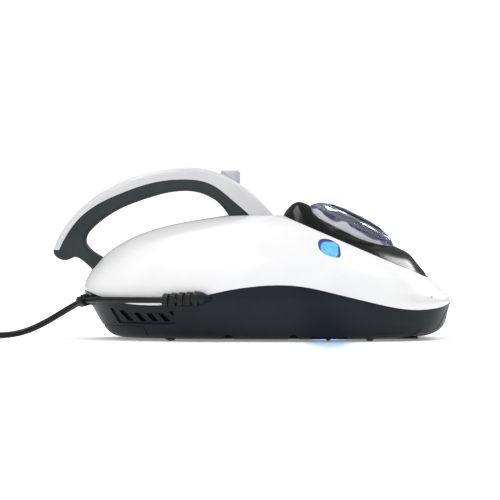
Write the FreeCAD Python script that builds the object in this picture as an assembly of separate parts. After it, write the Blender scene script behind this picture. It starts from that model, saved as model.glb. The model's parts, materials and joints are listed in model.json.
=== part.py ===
import FreeCAD, Part

import math
import os

from FreeCAD import Placement, Rotation, Vector

# A corded hand-held mattress vacuum with an ultraviolet lamp, a lift-out cyclone bin and a powered brush.
# Millimetres. X points to the nose, Y to the left, Z up; the rollers stand on Z = 0 and the origin is
# below the middle of the body.

# ---------------------------------------------------------------- driving dimensions
BODY_LOW = 2.5          # underside of the base above the floor
BODY_TOP = 133.2        # crown of the white shell
UPPER_WALL = 2.6
BASE_WALL = 3.0
SEAM_GAP = 0.5          # shadow line between the white shell and the base

# Silhouettes of the body, as (distance, height).
REAR_LINE = [(-141, 2.5), (-153, 7.5), (-160.5, 16.4), (-170.6, 33.8), (-180, 53), (-173, 72.5),
             (-146.5, 98.8), (-82, 123.8), (-25, 133.2)]
FRONT_LINE = [(178, 2.5), (193.6, 5.7), (203.7, 10.9), (210.1, 21.1), (213, 33), (214.7, 39),
              (214.6, 43.5), (211, 48), (192, 65.3), (176, 80), (157, 95.5), (136, 108), (113, 118),
              (86, 126.3), (60, 131), (36, 133.2)]
SIDE_LINE = [(102, 2.5), (112, 7), (118, 16), (122.5, 30), (125, 45), (124, 56), (119.5, 70),
             (110, 86), (96, 101), (77, 115), (53, 126), (30, 131.4), (14, 133.2)]
LEVELS = [2.5, 4.5, 8, 14, 22, 32, 41, 46, 54, 65, 78, 92, 105, 116, 124.5, 130, BODY_TOP]
OUTLINE_POINTS = 36

# The wavy joint between the white shell and the base, as (x, z).
SEAM_LINE = [(-200, 53.5), (-180, 53), (-165.5, 48), (-147, 43), (-132, 39.5), (-117, 38.3), (-98.5, 38.3),
             (-77, 42), (-52, 48.3), (-19.5, 55.5), (7.3, 59), (34.3, 60), (61.3, 57.2), (88.3, 51),
             (124, 42.3), (156.2, 35.1), (178, 33), (195.2, 34), (209.5, 37.5), (216, 41.5), (232, 52)]

DECK_TILT = 23.15       # slope of the bezel's foot
DECK_X, DECK_Z = 34.3, 132.8
BIN_TILT = 26.6         # slope of the dust bin's axis from the vertical
BIN_X, BIN_Z = 111.4, 126.5
BIN_R = 50.0            # outside of the bin's lid
BIN_BORE_R = 50.8
CUP_TOP_R, CUP_LOW_R = 47.2, 40.2
CUP_DEPTH = 84.0
CUP_WALL = 2.0
WELL_GAP = 1.2
LID_SKIRT = 14.0        # height of the lid's upright rim

BRUSH_X, BRUSH_Z = 158.0, 22.0
BRUSH_TUFT_R = 20.6
BRUSH_CORE_R = 12.5
BRUSH_Y = (-74.0, 70.0)
HOOD_R = 23.6
PULLEY_Y = (79.0, 84.5)
BRUSH_MOTOR_X, BRUSH_MOTOR_Z = 118.0, 21.0
BRUSH_PULLEY_R, MOTOR_PULLEY_R = 11.0, 6.5
BELT_T = 1.4
SHAFT_FIT = 0.06        # radial running clearance

UV_X = 83.0
UV_Z = 16.5
UV_TUBE_R = 7.5

FAN_X = (-14.0, 16.0)
FAN_Z = 68.0
FAN_R = 47.0
IMPELLER_R = 41.0
MOTOR_R = 35.0
MOTOR_X = (-84.0, -15.0)
MOTOR_SHAFT_R = 4.0

FRONT_WHEEL = dict(x=126.0, r=5.0, y0=87.0, y1=93.0)
REAR_WHEEL = dict(x=-86.0, r=8.0, y0=70.0, y1=78.0)
AXLE_R = 1.5

HANDLE_WIDTH = 34.0
HANDLE_ROUND = 6.0
BUTTON_X = -22.4
BUTTON_R = 10.5
BUTTON_TOP = 181.4

RELEASE_X, RELEASE_Z = 83.0, 99.2

CORD_D = 6.8
GLAND_R = 6.8
COIL_X, COIL_Y = -347.0, 50.0
COIL_RADII = (38.0, 45.0, 52.0, 59.0)
COIL_ROWS = 4
COIL_TOP = COIL_ROWS * 7.0 - 0.2
# Route of the cord from the strain relief to the coil; each row is x, y, z of one point.
CORD_ROUTE = [(-93.4, -113.8, 44.7), (-112.6, -107.0, 44.5), (-132.4, -95.4, 44.2), (-151.6, -79.4, 43.8),
              (-168.0, -60.4, 43.3), (-179.8, -38.2, 42.2), (-190.4, -19.8, 36.6), (-205.2, -8.2, 27.6),
              (-222.0, -3.4, 17.4), (-240.0, -3.6, 8.8), (-257.5, -5.9, 4.3), (-275.5, -8.5, 3.5),
              (-296.0, -9.8, 3.45), (-318.0, -10.7, 3.45), (-340.0, -9.2, 3.45)]
# The short end of the cord, which rises from the last turn of the coil to the plug on top of it.
LEAD_ROUTE = [(-356.0, -1.2, 24.4), (-374.9, 6.0, 25.6), (-389.9, 19.9, 28.2), (-396.9, 38.9, 31.0),
              (-396.2, 58.8, 33.6), (-388.8, 77.2, 36.0), (-375.3, 91.4, 37.3)]
PLUG_AXIS = (0.83, 0.557, 0.0)
PLUG_LENGTH = 44.0


# ---------------------------------------------------------------- small helpers
def box(x0, x1, y0, y1, z0, z1):
    return Part.makeBox(x1 - x0, y1 - y0, z1 - z0, Vector(x0, y0, z0))


def cyl(radius, start, axis, length):
    return Part.makeCylinder(radius, length, Vector(*start), Vector(*axis))


def cyl_y(radius, x, z, y0, y1):
    return cyl(radius, (x, y0, z), (0, 1, 0), y1 - y0)


def cyl_x(radius, y, z, x0, x1):
    return cyl(radius, (x0, y, z), (1, 0, 0), x1 - x0)


def cyl_z(radius, x, y, z0, z1):
    return cyl(radius, (x, y, z0), (0, 0, 1), z1 - z0)


def mirrored(shape):
    return shape.mirror(Vector(0, 0, 0), Vector(0, 1, 0))


def both_sides(shape):
    return Part.makeCompound([shape, mirrored(shape)])


def fuse(shapes):
    first, *rest = shapes
    return first.fuse(rest).removeSplitter() if rest else first


def cut(shape, *tools):
    for tool in tools:
        shape = shape.cut(tool)
    return shape


def spline(points):
    curve = Part.BSplineCurve()
    curve.interpolate([Vector(x, 0, z) for x, z in points])
    return curve.toShape()


def polyline(points):
    return [Part.LineSegment(Vector(a[0], 0, a[1]), Vector(b[0], 0, b[1])).toShape()
            for a, b in zip(points, points[1:])]


def prism_y(edges, y0, y1):
    """A closed outline in the XZ plane carried from y0 to y1."""
    face = Part.Face(Part.Wire(edges))
    face.translate(Vector(0, y0, 0))
    return face.extrude(Vector(0, y1 - y0, 0))


def polygon_y(points, y0, y1):
    return prism_y(polyline(points + points[:1]), y0, y1)


def revolve(profile, axis_base=(0, 0, 0)):
    """A closed (r, z) profile turned round the Z axis."""
    points = [Vector(r, 0, z) for r, z in profile]
    wire = Part.makePolygon(points + points[:1])
    solid = Part.Face(wire).revolve(Vector(0, 0, 0), Vector(0, 0, 1), 360)
    solid.translate(Vector(*axis_base))
    return solid


def tube(outer, inner, z0, z1):
    return cut(cyl_z(outer, 0, 0, z0, z1), cyl_z(inner, 0, 0, z0 - 1, z1 + 1))


def placed(shape, x, z, tilt):
    """A shape made in a tilted frame, brought into the body's frame."""
    moved = shape.copy()
    moved.Placement = Placement(Vector(x, 0, z), Rotation(Vector(0, 1, 0), tilt)).multiply(moved.Placement)
    return moved


def in_bin(shape):
    return placed(shape, BIN_X, BIN_Z, BIN_TILT)


def on_deck(shape):
    return placed(shape, DECK_X, DECK_Z, DECK_TILT)


def ring_spring(radius, wire_r, pitch, turns, start, axis):
    """A compression spring as stacked rings, which keeps its solids simple."""
    rings = [Part.makeTorus(radius, wire_r, Vector(0, 0, wire_r + pitch * k)) for k in range(turns)]
    spring = Part.makeCompound(rings)
    spring.Placement = Placement(Vector(*start), Rotation(Vector(0, 0, 1), Vector(*axis)))
    return spring


# ---------------------------------------------------------------- the body's form
def inset_line(points, inset):
    """A silhouette moved inwards along its normal, as fine steps."""
    curve = Part.BSplineCurve()
    curve.interpolate([Vector(x, z, 0) for x, z in points])
    side = 1 if points[0][0] > 0 else -1
    steps = 400
    line = []
    for i in range(steps + 1):
        t = curve.FirstParameter + (curve.LastParameter - curve.FirstParameter) * i / steps
        p, d = curve.value(t), curve.tangent(t)[0]
        line.append((p.x - d.y * side * inset, p.y + d.x * side * inset))
    return line


def reach_at(line, height):
    for (x0, z0), (x1, z1) in zip(line, line[1:]):
        if z0 <= height <= z1 and z1 > z0:
            return x0 + (x1 - x0) * (height - z0) / (z1 - z0)
    return line[-1][0] if height > line[-1][1] else line[0][0]


def egg_wire(height, rear, front, half_width, widest, front_power, rear_power=2.25):
    """A level outline: a superellipse whose two halves have their own reach and fullness."""
    points = []
    for k in range(OUTLINE_POINTS):
        t = 2 * math.pi * k / OUTLINE_POINTS
        c, s = math.cos(t), math.sin(t)
        power = front_power if c > 0 else rear_power
        reach = front - widest if c > 0 else widest - rear
        points.append(Vector(widest + reach * math.copysign(abs(c) ** (2 / power), c),
                             half_width * math.copysign(abs(s) ** (2 / power), s), height))
    curve = Part.BSplineCurve()
    curve.interpolate(Points=points, PeriodicFlag=True)
    return Part.Wire([curve.toShape()])


def body_form(inset):
    """The whole body's closed outer form, or the same form that far inside it."""
    rear, front, side = (inset_line(line, inset) for line in (REAR_LINE, FRONT_LINE, SIDE_LINE))
    low, top = BODY_LOW + inset, BODY_TOP - inset
    wires = []
    for level in LEVELS:
        share = (level - BODY_LOW) / (BODY_TOP - BODY_LOW)
        height = low + (top - low) * share
        wires.append(egg_wire(height, reach_at(rear, height), reach_at(front, height),
                              reach_at(side, height), 40 - 35 * share, 2.9 - 0.6 * share))
    return Part.makeLoft(wires, True, False)


def above_seam(lift):
    """Everything over the wavy joint, raised by lift."""
    line = [(x, z + lift) for x, z in SEAM_LINE]
    edges = [spline(line)] + polyline([line[-1], (232, 240), (-232, 240), (-232, line[0][1]), line[0]])
    return prism_y(edges, -160, 160)


def deck_half_space(lift):
    """Everything over the sloping foot of the bezel, in front of the handle."""
    return on_deck(box(-1.5, 260, -160, 160, lift, 160))


# ---------------------------------------------------------------- the handle
HANDLE_OUTER = [(-213.1, 96.3), (-204.4, 115.5), (-190.1, 134.5), (-172.7, 150.2), (-149, 164.5),
                (-125.2, 174.9), (-101.4, 181.1), (-69.7, 184.4), (-46, 182), (-30, 176.8), (-12.7, 166.9),
                (1.6, 156.6), (17, 142.4), (25.2, 132.8), (31, 122)]
HANDLE_INNER = [(-18, 124), (-25.3, 134.5), (-38.1, 148.7), (-49.1, 155), (-61.8, 158.6), (-77.6, 159),
                (-93.5, 156.6), (-117.2, 149.5), (-139.5, 140.7), (-156.9, 130.5), (-169.5, 120.2),
                (-176.4, 111.5), (-177.6, 104.6), (-174.3, 98.4), (-160, 88), (-148, 79.5)]
HANDLE_TAIL = [(-158, 66), (-172.7, 76), (-183.2, 85.2), (-190.1, 87.9), (-195.9, 85.6), (-201.6, 84.6),
               (-208, 86.6), (-212.4, 91), (-213.1, 96.3)]
HANDLE_SPLIT = [(-207, 95.8), (-199.6, 110.7), (-187, 128.1), (-164.8, 145.5), (-141, 156.6),
                (-117.2, 165.3), (-93.5, 170.5), (-69.7, 171.8), (-53.8, 170.1), (-38.1, 163.7),
                (-22.2, 151.1), (-3.2, 134.5), (8.6, 120)]
HANDLE_CORE = [(-186, 106), (-178, 123), (-163, 137.5), (-140, 150), (-112, 160.5), (-84, 166.5),
               (-62, 167), (-41, 161), (-24, 151), (-8, 137), (2, 121)]


def handle_form():
    """Handle and both its legs as one rounded solid."""
    edges = [spline(HANDLE_OUTER)]
    edges += polyline([HANDLE_OUTER[-1], HANDLE_INNER[0]])
    edges += [spline(HANDLE_INNER)]
    edges += polyline([HANDLE_INNER[-1], HANDLE_TAIL[0]])
    edges += [spline(HANDLE_TAIL)]
    half = HANDLE_WIDTH / 2
    block = prism_y(edges, -half, half)
    rims = [e for e in block.Edges
            if abs(abs(e.BoundBox.YMin) - half) < 1e-3 and e.BoundBox.YLength < 1e-3 and e.Length > 60]
    return block.makeFillet(HANDLE_ROUND, rims)


def handle_channel():
    """The hollow down the middle of the handle that carries its wires."""
    path = Part.Wire([spline(HANDLE_CORE)])
    start = path.Edges[0].valueAt(path.Edges[0].FirstParameter)
    heading = path.Edges[0].tangentAt(path.Edges[0].FirstParameter)
    ring = Part.Wire([Part.makeCircle(7.0, start, heading)])
    return path.makePipeShell([ring], True, False)


def over_split():
    """Everything on the outer side of the joint between the white cap and the grip."""
    edges = [spline(HANDLE_SPLIT)]
    edges += polyline([HANDLE_SPLIT[-1], (60, 120), (60, 230), (-240, 230), (-240, 96.6), HANDLE_SPLIT[0]])
    return prism_y(edges, -60, 60)


# ---------------------------------------------------------------- the bezel
# The bezel's ridge as (distance down the slope, height over its foot).
BEZEL_RIDGE = [(0.6, 4.5), (2.4, 10.8), (5.4, 16.6), (9.6, 20.2), (16, 21.4), (28, 21.2), (46, 20.4),
               (68, 19.4), (92, 18.4), (114, 17.4), (130, 16.7), (141.5, 15.4), (150, 11.4), (158, 7.2),
               (164.5, 3.8), (169, 1.5)]
BEZEL_WALL = 2.4


def deck_half_widths(form, stations):
    """Half width of the body where the bezel's foot crosses it, at each distance down the slope."""
    local = form.copy()
    local.Placement = Placement(Vector(DECK_X, 0, DECK_Z), Rotation(Vector(0, 1, 0), DECK_TILT)).inverse()
    wire = max(local.slice(Vector(0, 0, 1), 0.0), key=lambda w: w.BoundBox.DiagonalLength)
    fine = [p for p in wire.discretize(Number=1801) if p.y >= 0]
    return [min(fine, key=lambda p: abs(p.x - u)).y for u in stations]


def bezel_form(form, inset, drop):
    """The crowned form on its foot in the deck's frame; drop carries it below the foot."""
    stations = [u for u, _ in BEZEL_RIDGE]
    wires = []
    for (u, height), half in zip(BEZEL_RIDGE, deck_half_widths(form, stations)):
        if inset and (height < inset + 1.4 or u < BEZEL_RIDGE[0][0] + inset):
            continue
        span, rise = half - inset * 1.1, height - inset
        top = [Vector(u, span * s, rise * (1 - abs(s) ** 1.7)) for s in
               (-1, -0.94, -0.84, -0.7, -0.52, -0.3, 0, 0.3, 0.52, 0.7, 0.84, 0.94, 1)]
        curve = Part.BSplineCurve()
        curve.interpolate(top)
        corners = [top[-1], Vector(u, span, -drop), Vector(u, -span, -drop), top[0]]
        edges = [curve.toShape()] + [Part.LineSegment(a, b).toShape() for a, b in zip(corners, corners[1:])]
        wires.append(Part.Wire(edges))
    return Part.makeLoft(wires, True, False)


def bin_bore(radius):
    return in_bin(cyl_z(radius, 0, 0, -60, 60))


def bezel(form):
    outer = bezel_form(form, 0.0, 1.0)
    above = box(-20, 220, -120, 120, 0.4, 60)
    skin = on_deck(cut(outer.common(above), bezel_form(form, BEZEL_WALL, 6.0)))
    collar = cut(bin_bore(BIN_BORE_R + 2.2), bin_bore(BIN_BORE_R)).common(on_deck(outer.common(above)))
    solid = cut(skin, bin_bore(BIN_BORE_R)).fuse(collar)
    return max(solid.Solids, key=lambda s: s.Volume)


# ---------------------------------------------------------------- the dust bin
def cone_shell(r_low, r_top, z_low, z_top, wall, floor):
    outer = Part.makeCone(r_low, r_top, z_top - z_low, Vector(0, 0, z_low))
    depth = z_top - z_low - floor + 1
    inner = Part.makeCone(r_low - wall, r_top - wall, depth, Vector(0, 0, z_low + floor))
    return outer, cut(outer, inner)


CUP_LOW = -CUP_DEPTH
INLET_WINDOW = (20.0, 52.0, 14.0, 40.0, -44.0, -26.0)     # x0, x1, y0, y1, z0, z1 in the bin's frame
OUTLET_Z = -38.0


def inlet_tool(grow=0.0):
    x0, x1, y0, y1, z0, z1 = INLET_WINDOW
    return box(x0, x1 + 8, y0 - grow, y1 + grow, z0 - grow, z1 + grow)


def outlet_tool(radius):
    return cyl_x(radius, 0, OUTLET_Z, -62, -24)


def dust_cup():
    _, shell = cone_shell(CUP_LOW_R, CUP_TOP_R, CUP_LOW, -LID_SKIRT - 0.4, CUP_WALL, 2.2)
    rim = tube(BIN_R - 0.3, CUP_TOP_R - CUP_WALL, -LID_SKIRT - 3.4, -LID_SKIRT - 0.4)
    return in_bin(cut(fuse([shell, rim]), inlet_tool(), outlet_tool(13.0)))


def bin_well():
    low_r, top_r = CUP_LOW_R + WELL_GAP + 2.0, CUP_TOP_R + WELL_GAP + 4.0
    _, shell = cone_shell(low_r, top_r, CUP_LOW - WELL_GAP - 2.2, 0, 2.0, 2.2)
    well = in_bin(cut(shell, inlet_tool(0.5), outlet_tool(13.5)))
    return cut(well, on_deck(box(-60, 220, -120, 120, -0.4, 90)))


def lid_profile():
    """Half section of the clear lid, with its bevelled shoulder."""
    outer = [(0, 8.2), (16, 7.6), (30, 5.6), (40, 2.8), (46.5, -0.6), (49.4, -4.2), (BIN_R, -7.5),
             (BIN_R, -LID_SKIRT)]
    inner = [(47.4, -LID_SKIRT), (47.4, -7.0), (44.5, -3.4), (38.6, -0.4), (29, 2.4), (16, 4.6), (0, 5.2)]
    return outer + inner


def grip_pocket(side):
    """The finger recess beside the lid's twist grip."""
    y0, y1 = (-40, 7.5) if side > 0 else (-7.5, 40)
    return cut(cyl_z(33, 0, 0, -5, 14), box(-40, 40, y0, y1, -6, 15))


def bin_lid():
    lid = revolve(lid_profile())
    for side in (1, -1):
        pocket = grip_pocket(side)
        floor = pocket.common(box(-40, 40, -40, 40, -5, 14))
        bowl = cut(floor, cyl_z(34, 0, 0, -6, -1.6))
        liner = cut(pocket_wall(side), bowl)
        lid = cut(lid, bowl).fuse(liner)
    return in_bin(lid.removeSplitter())


def pocket_wall(side):
    """A thin tray that closes the recess below the lid's skin."""
    y0, y1 = (-40, 5.7) if side > 0 else (-5.7, 40)
    outer = cut(cyl_z(34.8, 0, 0, -3.6, 6), box(-40, 40, y0, y1, -6, 15))
    roof = revolve([(0, 8.2), (16, 7.6), (30, 5.6), (40, 2.8), (40, -4), (0, -4)])
    return outer.common(roof)


def lid_seal():
    return in_bin(tube(47.0, 44.6, -LID_SKIRT + 0.1, -LID_SKIRT + 3.2))


def cyclone_plate():
    plate = cut(cyl_z(44.4, 0, 0, -13.9, -11.4), cyl_z(22, 0, 0, -15, -10))
    hub = tube(28.4, 22.0, -11.4, -4.2)
    return in_bin(fuse([plate, hub]))


def mesh_screen():
    screen = tube(29.0, 28.0, -58, -14)
    holes = [cyl(1.9, (0, 0, -21.0 - 6.2 * row), (math.cos(a), math.sin(a), 0), 40)
             for row in range(6) for a in [math.radians(20 * k + 10 * (row % 2)) for k in range(18)]]
    return in_bin(cut(screen, Part.makeCompound(holes)))


def pleated_filter():
    """The filter as a star of folds, with its pleats as points on two circles."""
    folds = 30
    star = []
    for k in range(2 * folds):
        radius = 26.5 if k % 2 else 21.0
        turn = math.pi * k / folds
        star.append(Vector(radius * math.cos(turn), radius * math.sin(turn), -57.5))
    block = Part.Face(Part.makePolygon(star + star[:1])).extrude(Vector(0, 0, 43.0))
    return in_bin(cut(block, cyl_z(17, 0, 0, -60, -10)))


# ---------------------------------------------------------------- brush, its motor and belt
def brush_core():
    barrel = cyl_y(BRUSH_CORE_R, BRUSH_X, BRUSH_Z, *BRUSH_Y)
    shaft = cyl_y(3.5, BRUSH_X, BRUSH_Z, -84, PULLEY_Y[1] + 1)
    return fuse([barrel, shaft])


def brush_tufts():
    """Two helical rows of bristle tufts, each a short round bundle."""
    per_row = 15
    tufts = []
    for row in range(2):
        for k in range(per_row):
            share = k / (per_row - 1)
            angle = math.pi * row + 1.6 * math.pi * share + 0.35
            direction = (math.cos(angle), 0, math.sin(angle))
            y = BRUSH_Y[0] + 6 + (BRUSH_Y[1] - BRUSH_Y[0] - 12) * share
            start = (BRUSH_X + BRUSH_CORE_R * direction[0], y, BRUSH_Z + BRUSH_CORE_R * direction[2])
            tuft = cut(cyl(2.1, start, direction, BRUSH_TUFT_R - BRUSH_CORE_R),
                       cyl_y(BRUSH_CORE_R, BRUSH_X, BRUSH_Z, *BRUSH_Y))
            tufts.append(tuft)
    return Part.makeCompound(tufts)


def flanged_pulley(radius, x, z, bore):
    wheel = cyl_y(radius, x, z, PULLEY_Y[0] + 0.8, PULLEY_Y[1] - 0.8)
    flanges = [cyl_y(radius + 0.9, x, z, PULLEY_Y[0], PULLEY_Y[0] + 0.6),
               cyl_y(radius + 0.9, x, z, PULLEY_Y[1] - 0.6, PULLEY_Y[1])]
    hub = cyl_y(radius - 0.5, x, z, *PULLEY_Y)
    return cut(fuse([wheel, hub] + flanges), cyl_y(bore, x, z, PULLEY_Y[0] - 1, PULLEY_Y[1] + 1))


def drive_belt():
    """The belt round both pulleys, standing off their rims by the running gap."""
    gap = 0.25

    def loop(extra):
        shapes = []
        for radius, x, z in ((BRUSH_PULLEY_R, BRUSH_X, BRUSH_Z),
                             (MOTOR_PULLEY_R, BRUSH_MOTOR_X, BRUSH_MOTOR_Z)):
            shapes.append(cyl_y(radius + extra, x, z, PULLEY_Y[0] + 1.1, PULLEY_Y[1] - 1.1))
        dx, dz = BRUSH_X - BRUSH_MOTOR_X, BRUSH_Z - BRUSH_MOTOR_Z
        span = math.hypot(dx, dz)
        lean = math.asin((BRUSH_PULLEY_R - MOTOR_PULLEY_R) / span)
        base = math.atan2(dz, dx)
        corners = []
        for radius, x, z, side in ((MOTOR_PULLEY_R, BRUSH_MOTOR_X, BRUSH_MOTOR_Z, 1),
                                   (BRUSH_PULLEY_R, BRUSH_X, BRUSH_Z, 1),
                                   (BRUSH_PULLEY_R, BRUSH_X, BRUSH_Z, -1),
                                   (MOTOR_PULLEY_R, BRUSH_MOTOR_X, BRUSH_MOTOR_Z, -1)):
            angle = base + side * (math.pi / 2 + lean)
            corners.append((x + (radius + extra) * math.cos(angle), z + (radius + extra) * math.sin(angle)))
        shapes.append(polygon_y(corners, PULLEY_Y[0] + 1.1, PULLEY_Y[1] - 1.1))
        return fuse(shapes)

    return cut(loop(gap + BELT_T), loop(gap))


def brush_bearings():
    """The two blocks that carry the brush's shaft, on the end walls of its tunnel."""
    blocks = []
    for y0, y1 in ((-83.5, -78.6), (73.2, 78.0)):
        block = fuse([box(BRUSH_X - 8, BRUSH_X + 8, y0, y1, BRUSH_Z - 10, BRUSH_Z),
                      cyl_y(8, BRUSH_X, BRUSH_Z, y0, y1)])
        blocks.append(cut(block, cyl_y(3.5 + SHAFT_FIT, BRUSH_X, BRUSH_Z, y0 - 1, y1 + 1)))
    return Part.makeCompound(blocks)


def brush_hood():
    """The tunnel over the brush, open below, with a window at the back for the duct."""
    y0, y1 = BRUSH_Y[0] - 3.0, BRUSH_Y[1] + 2.0
    low = BODY_LOW + BASE_WALL
    outer = fuse([cyl_y(HOOD_R + 1.8, BRUSH_X, BRUSH_Z, y0 - 1.6, y1 + 1.2),
                  box(BRUSH_X - HOOD_R - 1.8, BRUSH_X + HOOD_R + 1.8, y0 - 1.6, y1 + 1.2, low, BRUSH_Z)])
    inner = fuse([cyl_y(HOOD_R, BRUSH_X, BRUSH_Z, y0, y1),
                  box(BRUSH_X - HOOD_R, BRUSH_X + HOOD_R, y0, y1, low - 4, BRUSH_Z)])
    below = box(100, 220, -120, 120, -40, low)
    return cut(outer, inner, below, cyl_y(3.5 + 0.5, BRUSH_X, BRUSH_Z, -100, 100), duct_form(0.0))


DUCT_FOOT = (149.0, 26.0, 40.0)     # x, y, z of the duct's lower mouth


def duct_form(wall):
    """The passage from the brush tunnel up to the bin's inlet window."""
    half_y, half_t = 12.0 - wall, 8.5 - wall
    x, y, z = DUCT_FOOT
    heading = Vector(-0.62, 0, 0.78)
    across = Vector(0.78, 0, 0.62)
    wires = []
    for step in (0.0, 12.0, 30.0):
        centre = Vector(x, y, z) + heading * (step - (1.0 if wall and not step else 0.0))
        corners = [centre + across * (sx * half_t) + Vector(0, sy * half_y, 0)
                   for sx, sy in ((1, 1), (1, -1), (-1, -1), (-1, 1))]
        wires.append(Part.makePolygon(corners + corners[:1]))
    return Part.makeLoft(wires, True, True)


def inlet_duct(well_body):
    shell = cut(duct_form(0.0), duct_form(1.6))
    tunnel = cyl_y(HOOD_R, BRUSH_X, BRUSH_Z, -90, 90)
    solid = cut(shell, well_body, tunnel)
    return max(solid.Solids, key=lambda s: s.Volume)


def brush_motor():
    can = cyl_y(10.8, BRUSH_MOTOR_X, BRUSH_MOTOR_Z, 14, 72)
    nose = cyl_y(4.5, BRUSH_MOTOR_X, BRUSH_MOTOR_Z, 72, 75)
    cap = cyl_y(9.6, BRUSH_MOTOR_X, BRUSH_MOTOR_Z, 9, 14)
    foot = cut(box(BRUSH_MOTOR_X - 8, BRUSH_MOTOR_X + 8, 20, 66, BODY_LOW + BASE_WALL, BRUSH_MOTOR_Z),
               cyl_y(10.8, BRUSH_MOTOR_X, BRUSH_MOTOR_Z, 0, 80))
    return cut(fuse([can, nose, cap, foot]), cyl_y(2 + SHAFT_FIT, BRUSH_MOTOR_X, BRUSH_MOTOR_Z, 60, 80))


def motor_pulley():
    shaft = cyl_y(2, BRUSH_MOTOR_X, BRUSH_MOTOR_Z, 62, PULLEY_Y[1] + 1)
    return fuse([flanged_pulley(MOTOR_PULLEY_R, BRUSH_MOTOR_X, BRUSH_MOTOR_Z, 1.0), shaft])


# ---------------------------------------------------------------- ultraviolet lamp
def uv_lamp():
    tube_part = cyl_y(UV_TUBE_R, UV_X, UV_Z, -60, 60)
    caps = [cyl_y(UV_TUBE_R + 0.5, UV_X, UV_Z, a, b) for a, b in ((-68, -60), (60, 68))]
    return fuse([tube_part] + caps)


def uv_sockets():
    return both_sides(fuse([box(UV_X - 11, UV_X + 11, 68.2, 76, BODY_LOW + BASE_WALL + 1.6, UV_Z + 9)]))


def uv_reflector():
    outer = cyl_y(15.6, UV_X, UV_Z - 4.5, -67.5, 67.5)
    inner = cyl_y(14.8, UV_X, UV_Z - 4.5, -70, 70)
    below = box(50, 120, -80, 80, -20, BODY_LOW + BASE_WALL + 1.7)
    return cut(outer, inner, below)


def uv_window():
    plate = box(64, 102, -76, 76, BODY_LOW + BASE_WALL, BODY_LOW + BASE_WALL + 1.6)
    return cut(plate, both_sides(box(60, 106, 77, 90, 0, 20)))


# ---------------------------------------------------------------- suction motor and fan
def fan_housing():
    x0, x1 = FAN_X
    outer = cyl_x(FAN_R, 0, FAN_Z, x0, x1)
    inner = cyl_x(FAN_R - 2, 0, FAN_Z, x0 - 1, x1 - 2)
    eye = cyl_x(19, 0, FAN_Z, x1 - 4, x1 + 2)
    return cut(outer, inner, eye)


def impeller():
    x0, x1 = FAN_X[0] + 6, FAN_X[1] - 5
    back = cyl_x(IMPELLER_R, 0, FAN_Z, x0, x0 + 1.6)
    hub = cyl_x(9, 0, FAN_Z, x0, x1 - 1)
    front = cut(cyl_x(IMPELLER_R, 0, FAN_Z, x1 - 1.4, x1), cyl_x(18, 0, FAN_Z, x1 - 3, x1 + 1))
    blades = []
    count = 9
    for k in range(count):
        blade = box(x0 + 1, x1 - 1, 8, IMPELLER_R - 0.4, -0.8, 0.8)
        blade.rotate(Vector(0, 8, 0), Vector(1, 0, 0), 24)
        blade.rotate(Vector(0, 0, 0), Vector(1, 0, 0), 360 * k / count)
        blade.translate(Vector(0, 0, FAN_Z))
        blades.append(blade)
    rim = cyl_x(IMPELLER_R, 0, FAN_Z, x0, x1)
    wheel = fuse([back, hub, front] + [b.common(rim) for b in blades])
    return cut(wheel, cyl_x(MOTOR_SHAFT_R, 0, FAN_Z, x0 - 1, x1 + 1))


def motor_can():
    x0, x1 = MOTOR_X
    shell = cut(cyl_x(MOTOR_R, 0, FAN_Z, x0, x1), cyl_x(MOTOR_R - 2, 0, FAN_Z, x0 + 2.5, x1 - 2.5))
    bearings = cyl_x(MOTOR_SHAFT_R + SHAFT_FIT, 0, FAN_Z, x0 - 5, x1 + 5)
    bosses = [cyl_x(11.5, 0, FAN_Z, x0 - 4, x0 + 6), cyl_x(11.5, 0, FAN_Z, x1 - 6, x1)]
    vents = []
    for k in range(6):
        for x in (x0 - 1, x1 - 5):
            vent = cyl_x(5, 22, 0, x, x + 6)
            vent.rotate(Vector(0, 0, 0), Vector(1, 0, 0), 60 * k)
            vent.translate(Vector(0, 0, FAN_Z))
            vents.append(vent)
    return cut(fuse([shell] + bosses), bearings, Part.makeCompound(vents))


def stator():
    core = cut(cyl_x(MOTOR_R - 2, 0, FAN_Z, -66, -34), cyl_x(22.6, 0, FAN_Z, -70, -30))
    coils = []
    for side in (1, -1):
        for x0, x1 in ((-74, -66), (-34, -26)):
            ring = cut(cyl_x(30, 0, FAN_Z, x0, x1), cyl_x(23.5, 0, FAN_Z, x0 - 1, x1 + 1))
            z0, z1 = sorted((FAN_Z + side * 8, FAN_Z + side * 40))
            coils.append(ring.common(box(x0, x1, -24, 24, z0, z1)))
    return fuse([core] + coils)


def armature():
    """The suction motor's shaft with its iron and its commutator."""
    shaft = cyl_x(MOTOR_SHAFT_R, 0, FAN_Z, MOTOR_X[0] - 3, FAN_X[1] - 5.5)
    return fuse([shaft, cyl_x(22, 0, FAN_Z, -65, -35), cyl_x(11, 0, FAN_Z, -76, -67)])


def motor_mounts():
    """The two soft rings that carry the suction motor, on feet that stand on the base."""
    rings = []
    for x0, x1 in ((-80, -72), (-30, -22)):
        ring = fuse([cyl_x(MOTOR_R + 4, 0, FAN_Z, x0, x1),
                     box(x0, x1, -22, 22, BODY_LOW + BASE_WALL, FAN_Z - 20)])
        rings.append(cut(ring, cyl_x(MOTOR_R, 0, FAN_Z, x0 - 1, x1 + 1)))
    return Part.makeCompound(rings)


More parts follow.
